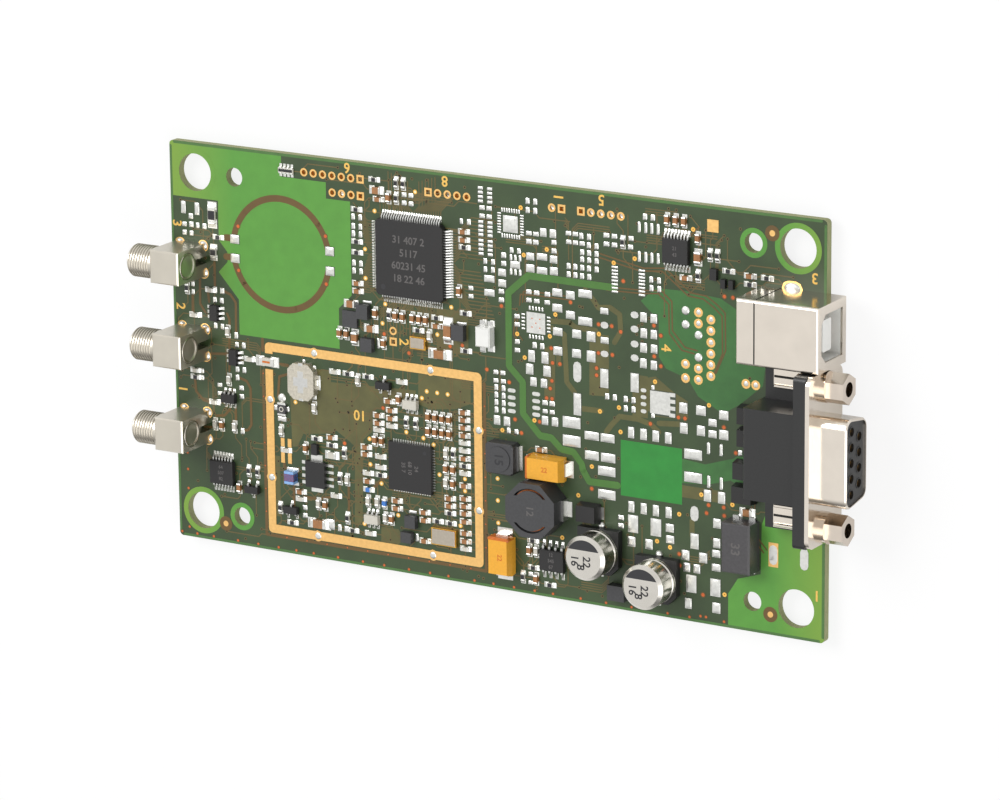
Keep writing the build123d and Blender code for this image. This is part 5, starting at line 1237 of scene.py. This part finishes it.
class READER_OT_special_parts(bpy.types.Operator):
    """Lids, windings and markings of the crystals, the coil, the filter and the radio parts"""
    bl_idname = "reader.special_parts"
    bl_label = "Crystals, coil and filter"

    def execute(self, context):
        ride(join("crystal_lids", [
            block("crystal_lid", (low.x + 0.2, low.y + 0.2, high.z - 0.05),
                  (high.x - 0.2, high.y - 0.2, high.z + 0.06), "lid", 0.05)
            for low, high, _ in islands("crystals")]))
        self.coil()
        self.circulator()
        self.small_marks()
        domes = ((23.2, -22.75), (34.85, -26.35))
        ride(smooth(spread("can_solder", dome((0.75, 0), (0.72, 0.2), (0.5, 0.5), (0.2, 0.62), (0.05, 0.64)),
                           "tin", domes, 18), 50))
        return {"FINISHED"}

    def coil(self):
        low, high, _ = node_box("wound_coil")
        cap, turns = 0.5, 7
        parts = []
        for a, b in ((low.y - 0.02, low.y + cap), (high.y - cap, high.y + 0.02)):
            parts.append(block("coil_end", (low.x - 0.02, a, TOP), (high.x + 0.02, b, high.z + 0.02),
                               "resin_blue", 0.06))
        span = (high.y - low.y - 2 * cap) / turns
        for i in range(turns):
            y = low.y + cap + span * i
            parts.append(block("coil_turn", (low.x - 0.04, y + 0.03, TOP + 0.1),
                               (high.x + 0.04, y + span - 0.03, high.z + 0.04), "wire", 0.05))
        ride(join("coil_turns", parts))

    def circulator(self):
        low, high, mid = node_box("circulator_body")
        half_x, half_y = (high.x - low.x) / 2, (high.y - low.y) / 2

        def tile(name, x, y, wide, deep, base, top, key, bevel):
            x, y = mid.x + x * half_x, mid.y + y * half_y
            return block(name, (x - wide, y - deep, base), (x + wide, y + deep, top), key, bevel)

        parts = [tile("corner_field", side * 0.6, end * 0.66, 0.6, 0.6, high.z - 0.02, high.z + 0.03,
                      "silver", 0.02) for side in (1, -1) for end in (1, -1)]
        parts += [tile("side_tab", side * 0.98, 0, 0.35, 0.6, TOP, TOP + 0.5, "tin", 0.08)
                  for side in (-1, 1)]
        parts += [tile("end_notch", 0, side * 0.97, 0.5, 0.3, TOP + 0.6, high.z + 0.01, "lead", 0.08)
                  for side in (-1, 1)]
        cross = ((-0.4, -1), (0.4, -1), (0.4, -0.4), (1, -0.4), (1, 0.4), (0.4, 0.4), (0.4, 1), (-0.4, 1),
                 (-0.4, 0.4), (-1, 0.4), (-1, -0.4), (-0.4, -0.4))
        parts.append(plate("inner_field", [(mid.x + x * half_x * 0.55, mid.y + y * half_y * 0.6)
                                           for x, y in cross], high.z - 0.01, high.z + 0.02, "lead"))
        ride(join("circulator_fields", parts))

    def small_marks(self):
        """A bar on the chip filter, the metal ends and round mark of one ferrite bead, and its joint."""
        filter_x, filter_y, bead_x, bead_y = -47.0, -1.65, -44.1, -10.3
        marks = []
        for low, high, mid in islands("white_chips"):
            if low.x < filter_x < high.x and low.y < filter_y < high.y:
                marks.append(block("filter_mark", (mid.x - 0.8, mid.y - 0.18, high.z - 0.02),
                                   (mid.x + 0.8, mid.y + 0.18, high.z + 0.02), "band"))
        for low, high, mid in islands("dark_blocks"):
            if abs(mid.x - bead_x) < 1.2 and abs(mid.y - bead_y) < 1.5:
                for a, b in ((low.y - 0.05, low.y + 0.4), (high.y - 0.4, high.y + 0.05)):
                    marks.append(block("bead_end", (low.x - 0.02, a, TOP), (high.x + 0.02, b, high.z + 0.02),
                                       "tin", 0.06))
                marks.append(turned("round_mark", band(high.z - 0.01, high.z + 0.01, 0.32, 0.5), "alumina",
                                    20, at(mid.x, mid.y), closed=True))
        joint = dome((0.9, 0), (0.85, 0.1), (0.5, 0.3), (0.05, 0.36))
        marks.append(smooth(spread("round_joint", joint, "tin", ((-44.1, -8.2),), 18), 50))
        ride(join("small_marks", marks))


class READER_OT_antenna_jacks(bpy.types.Operator):
    """Threads, caps and solder of the antenna jacks"""
    bl_idname = "reader.antenna_jacks"
    bl_label = "Antenna jacks"

    def execute(self, context):
        threads, legs, caps = [], [], []
        pitch, count, root, crest = 0.56, 8, 2.93, 3.08
        leg_middle, leg_reach = 3.1, 2.54
        for number in (1, 2, 3):
            low, high, _ = node_box(f"antenna_jack_{number}_body")
            centre = node_box(f"antenna_jack_{number}_insulator")[2]
            place, back = lying(low.x, centre.y, centre.z), high.x - low.x
            for i in range(count):
                start = 0.45 + pitch * i
                threads.append(turned("ridge", [
                    (root, start), (crest, start + 0.16), (crest, start + 0.24), (root, start + 0.4)],
                    "thread", 40, place, caps=False))
            caps.append(turned("cap", [
                (2.42, back - 0.66), (2.42, back - 0.02), (2.32, back + 0.06), (2.12, back + 0.02),
                (2.0, back - 0.12), (1.85, back - 0.16), (1.5, back - 0.14), (0.05, back - 0.14)],
                "nickel", 40, place))
            legs += [(high.x - leg_middle + dx, centre.y + dy)
                     for dx in (-leg_reach, leg_reach) for dy in (-leg_reach, leg_reach)]
        ride(smooth(join("antenna_threads", threads), 25))
        ride(smooth(join("antenna_caps", caps), 40))
        ride(spread("antenna_lands", disc(1.12, 0.04), "gold", legs, 20))
        above = dome((0.98, 0), (0.95, 0.1), (0.7, 0.3), (0.55, 0.45))
        below = [(0.5, -1.25), (0.6, -0.8), (0.85, -0.3), (1.1, -0.04), (1.1, 0.01)]
        ride(smooth(join("antenna_solder", [spread("leg_solder_above", above, "tin", legs, 16),
                                            spread("leg_solder_below", below, "tin", legs, 16)]), 50))
        return {"FINISHED"}


class READER_OT_data_jack(bpy.types.Operator):
    """Painted shade along the seams of the square data jack"""
    bl_idname = "reader.data_jack"
    bl_label = "Data jack"

    def execute(self, context):
        low, high, _ = node_box("usb_shell")
        seam, half = low.x + 3.6, 0.13
        lip, sunk, end = 0.012, 0.01, 0.4
        # each seam is a thin dark strip: painted shade in the gap of the shell
        strips = [block("seam", (seam - half, y0, z0), (seam + half, y1, z1), "dark") for y0, y1, z0, z1 in (
            (low.y + end, high.y - end, high.z - sunk, high.z + lip),
            (low.y - lip, low.y + sunk, TOP + 0.3, high.z - end),
            (high.y - sunk, high.y + lip, TOP + 0.3, high.z - end))]
        ride(join("jack_seam_shades", strips))
        return {"FINISHED"}


class READER_OT_serial_jack(bpy.types.Operator):
    """Contact rims, bracket folds, nuts and solder of the nine-way connector"""
    bl_idname = "reader.serial_jack"
    bl_label = "Serial connector"

    def execute(self, context):
        rims, pins = [], []
        front = node_box("dsub_insert")[1].x
        for low, _, mid in islands("dsub_contacts"):
            if low.z > TOP + 1:
                rims.append(turned("contact_rim", [(1.02, 0), (1.0, 0.1), (0.8, 0.1), (0.76, -0.3)],
                                   "black", 20, lying(front - 0.02, mid.y, mid.z), caps=False))
            else:
                pins.append((mid.x, mid.y))
        ride(smooth(join("contact_rims", rims), 40))
        if pins:
            tail = [(0.35, -1.25), (0.42, -0.8), (0.6, -0.3), (0.95, -0.04), (0.95, 0.01)]
            ride(smooth(spread("serial_pin_solder", tail, "tin", pins, 14), 50))
        flange_low, flange_high, _ = node_box("dsub_flange_shell")
        x0, x1 = node_box("dsub_brackets")[0].x + 0.1, flange_low.x - 2.5
        level = TOP + 4.0
        pieces = []
        for y in (flange_high.y - 2.8, flange_low.y + 2.8):
            # a dark strip of painted shade in the gap between the bracket folds
            pieces.append(block("bracket_gap_shade", (x0, y - 0.25, level - 0.05), (x1, y + 0.15, level + 0.06),
                                "dark"))
            for middle in (y - 1.7, y + 1.7):
                pieces.append(block("bracket_fold", (x0, middle - 0.3, level - 0.05),
                                    (x1, middle + 0.3, level + 0.35), "steel", 0.14))
            pieces.append(turned("clinch_nut", [
                (1.1, 0), (1.7, 0.2), (1.7, 0.5), (1.5, 0.6), (1.5, 0.8), (1.7, 0.9), (1.7, 1.2), (1.5, 1.3),
                (1.5, 1.5), (1.7, 1.6), (1.7, 2.2)], "steel", 24, lying(x1 - 2.2, y, flange_high.z - 6.2)))
        ride(join("bracket_details", pieces))
        return {"FINISHED"}


# stage

# the photograph's view: place in metres, turn in degrees, lens in millimetres
CAMERA_SPOT = (0.443026, 0.233897, 0.738005)
CAMERA_TURN = (-15.73737, 30.73316, -0.66212)
CAMERA_LENS = 179.875


class READER_OT_stage(bpy.types.Operator):
    """Pale floor, soft lights and the camera"""
    bl_idname = "reader.stage"
    bl_label = "Stage"

    def execute(self, context):
        scene = context.scene
        deselect()
        bpy.ops.mesh.primitive_plane_add(size=6, location=(0, 0, cad_box[0].z - 0.0001))
        floor = bpy.context.object
        floor.name = "floor"
        floor.data.materials.append(self.paper())
        scene.world = self.room()
        for name, spot, size, power in (
                ("key_light", (-0.5, 0.55, 0.9), 0.7, 9.0),
                ("fill_light", (0.7, -0.3, 0.7), 0.8, 4.0)):
            deselect()
            bpy.ops.object.light_add(type="AREA", location=spot)
            lamp = bpy.context.object
            lamp.name = name
            lamp.data.size = size
            lamp.data.energy = power
            lamp.rotation_mode = "QUATERNION"
            lamp.rotation_quaternion = Vector(spot).to_track_quat("Z", "Y")
        turns = [math.radians(turn) for turn in CAMERA_TURN]
        bpy.ops.object.camera_add(location=CAMERA_SPOT, rotation=turns)
        camera = bpy.context.object
        camera.name = "photo_camera"
        camera.data.sensor_width = 36
        camera.data.lens = CAMERA_LENS
        camera.data.clip_start = 0.05
        camera.data.clip_end = 20
        scene.camera = camera
        scene.view_settings.view_transform = "Standard"
        return {"FINISHED"}

    def paper(self):
        """White paper sweep that glows a little, and most to the camera."""
        made = bpy.data.materials.new("white_paper_sweep")
        made.use_nodes = True
        tree = made.node_tree
        tree.nodes.clear()
        rays = add_node(tree, "ShaderNodeLightPath")
        sheet = add_node(tree, "ShaderNodeBsdfDiffuse", {"Color": (0.9, 0.9, 0.9, 1)})
        glow = add_node(tree, "ShaderNodeEmission", {"Color": (1, 1, 1, 1), "Strength": 1.0})
        seen = add_node(tree, "ShaderNodeMath", {"operation": "MULTIPLY_ADD", 1: 0.54, 2: 0.3},
                        [(0, rays, "Is Camera Ray")])
        mix = add_node(tree, "ShaderNodeMixShader", {}, [
            ("Fac", seen, "Value"), (1, sheet, "BSDF"), (2, glow, "Emission")])
        # seen from below the sheet is clear, so that the underside can be looked at
        side = add_node(tree, "ShaderNodeNewGeometry")
        clear = add_node(tree, "ShaderNodeBsdfTransparent")
        either = add_node(tree, "ShaderNodeMixShader", {}, [
            ("Fac", side, "Backfacing"), (1, mix, "Shader"), (2, clear, "BSDF")])
        add_node(tree, "ShaderNodeOutputMaterial", {}, [("Surface", either, "Shader")])
        return made

    def room(self):
        """White room: full to the camera and in metal, half for the light that it gives."""
        world = bpy.data.worlds.new("soft_room")
        world.use_nodes = True
        tree = world.node_tree
        back = tree.nodes["Background"]
        back.inputs["Color"].default_value = (1, 1, 1, 1)
        sight = add_node(tree, "ShaderNodeLightPath")
        either = add_node(tree, "ShaderNodeMath", {"operation": "MAXIMUM"}, [
            (0, sight, "Is Camera Ray"), (1, sight, "Is Glossy Ray")])
        level = add_node(tree, "ShaderNodeMapRange", {"To Min": 0.5, "To Max": 1.0},
                         [("Value", either, "Value")])
        # mirrored in metal the lower side of the room is darker, as over a table
        place = add_node(tree, "ShaderNodeTexCoord")
        axes = add_node(tree, "ShaderNodeSeparateXYZ", {}, [("Vector", place, "Generated")])
        shade = add_node(tree, "ShaderNodeMapRange", {
            "From Min": -0.9, "From Max": -0.42, "To Min": 0.22, "To Max": 1.0}, [("Value", axes, "Y")])
        plain = add_node(tree, "ShaderNodeMath", {"operation": "SUBTRACT", 0: 1.0},
                         [(1, sight, "Is Glossy Ray")])
        dim = add_node(tree, "ShaderNodeMath", {"operation": "MAXIMUM"},
                       [(0, plain, "Value"), (1, shade, "Result")])
        total = add_node(tree, "ShaderNodeMath", {"operation": "MULTIPLY"},
                         [(0, level, "Result"), (1, dim, "Value")])
        tree.links.new(total.outputs["Value"], back.inputs["Strength"])
        return world


# the material of each CAD solid that is shown as it stands
NODE_LOOKS = {
    "gold": ("shield_track", "gold_contacts"),
    "tin": ("tinned_pads", "capacitor_terminals", "diode_terminals", "power_chip_metal"),
    "steel": ("usb_shell", "dsub_flange_shell", "dsub_brackets"),
    "screw": ("jackscrew_upper", "jackscrew_lower"),
    "white": ("usb_housing", "coupler_body"),
    "black": ("dsub_housing", "dsub_insert", "electrolytic_bases"),
    "contact": ("usb_contacts", "dsub_contacts", "crystals",
                *[f"antenna_jack_{number}_contact" for number in (1, 2, 3)]),
    "nickel": [f"antenna_jack_{number}_body" for number in (1, 2, 3)],
    "ptfe": [f"antenna_jack_{number}_insulator" for number in (1, 2, 3)],
    "ferrite": ("power_inductor_core", "block_inductor_body", "dark_blocks"),
    "powder": ("choke_body",),
    "tantalum": ("tantalum_capacitor_1", "tantalum_capacitor_2"),
    "aluminium": ("electrolytic_can_1", "electrolytic_can_2"),
    "lead": ("inductor_terminals", "microcontroller_leads", "chip_leads", "small_package_leads"),
    "epoxy": ("diode_bodies", "microcontroller_body", "radio_chip", "interface_chip_body",
              "buffer_chip_body", "logic_chip_body", "switch_bodies", "transistor_bodies",
              "power_chip_body"),
    "alumina": ("white_chip_bodies",),
    "silver": ("circulator_body",),
    "blue": ("wound_coil",),
}


class READER_OT_finishes(bpy.types.Operator):
    """Procedural finishes on the solids that stay as they are"""
    bl_idname = "reader.finishes"
    bl_label = "Finishes"

    def execute(self, context):
        bare = {name for name, obj in nodes.items() if not obj.hide_render}
        for key, names in NODE_LOOKS.items():
            for name in names:
                nodes[name].data.materials.clear()
                nodes[name].data.materials.append(MATS[key])
                bare.discard(name)
        if bare:
            raise RuntimeError(f"no finish for {sorted(bare)}")
        return {"FINISHED"}


STEPS = (
    READER_OT_board, READER_OT_tracks, READER_OT_holes, READER_OT_pads, READER_OT_chips,
    READER_OT_lands, READER_OT_tall_parts, READER_OT_special_parts, READER_OT_antenna_jacks,
    READER_OT_data_jack, READER_OT_serial_jack, READER_OT_legend, READER_OT_finishes, READER_OT_stage)


class READER_PT_panel(bpy.types.Panel):
    """Sizes, colours and build steps of the reader module"""
    bl_idname = "READER_PT_panel"
    bl_label = "Reader module"
    bl_space_type = "VIEW_3D"
    bl_region_type = "UI"
    bl_category = "Reader"

    def draw(self, context):
        for group in (context.scene.reader_colours, context.scene.reader_sizes):
            for name in group.__annotations__:
                self.layout.prop(group, name)
        for step in STEPS:
            self.layout.operator(step.bl_idname)


CLASSES = (ReaderBoardColours, ReaderBoardSizes, *STEPS, READER_PT_panel)


def register():
    for cls in CLASSES:
        bpy.utils.register_class(cls)
    bpy.types.Scene.reader_colours = PointerProperty(type=ReaderBoardColours)
    bpy.types.Scene.reader_sizes = PointerProperty(type=ReaderBoardSizes)


def unregister():
    del bpy.types.Scene.reader_sizes
    del bpy.types.Scene.reader_colours
    for cls in reversed(CLASSES):
        bpy.utils.unregister_class(cls)


def main():
    register()
    make_materials()
    for step in STEPS:
        group, name = step.bl_idname.split(".")
        getattr(getattr(bpy.ops, group), name)()


if __name__ == "__main__":
    main()
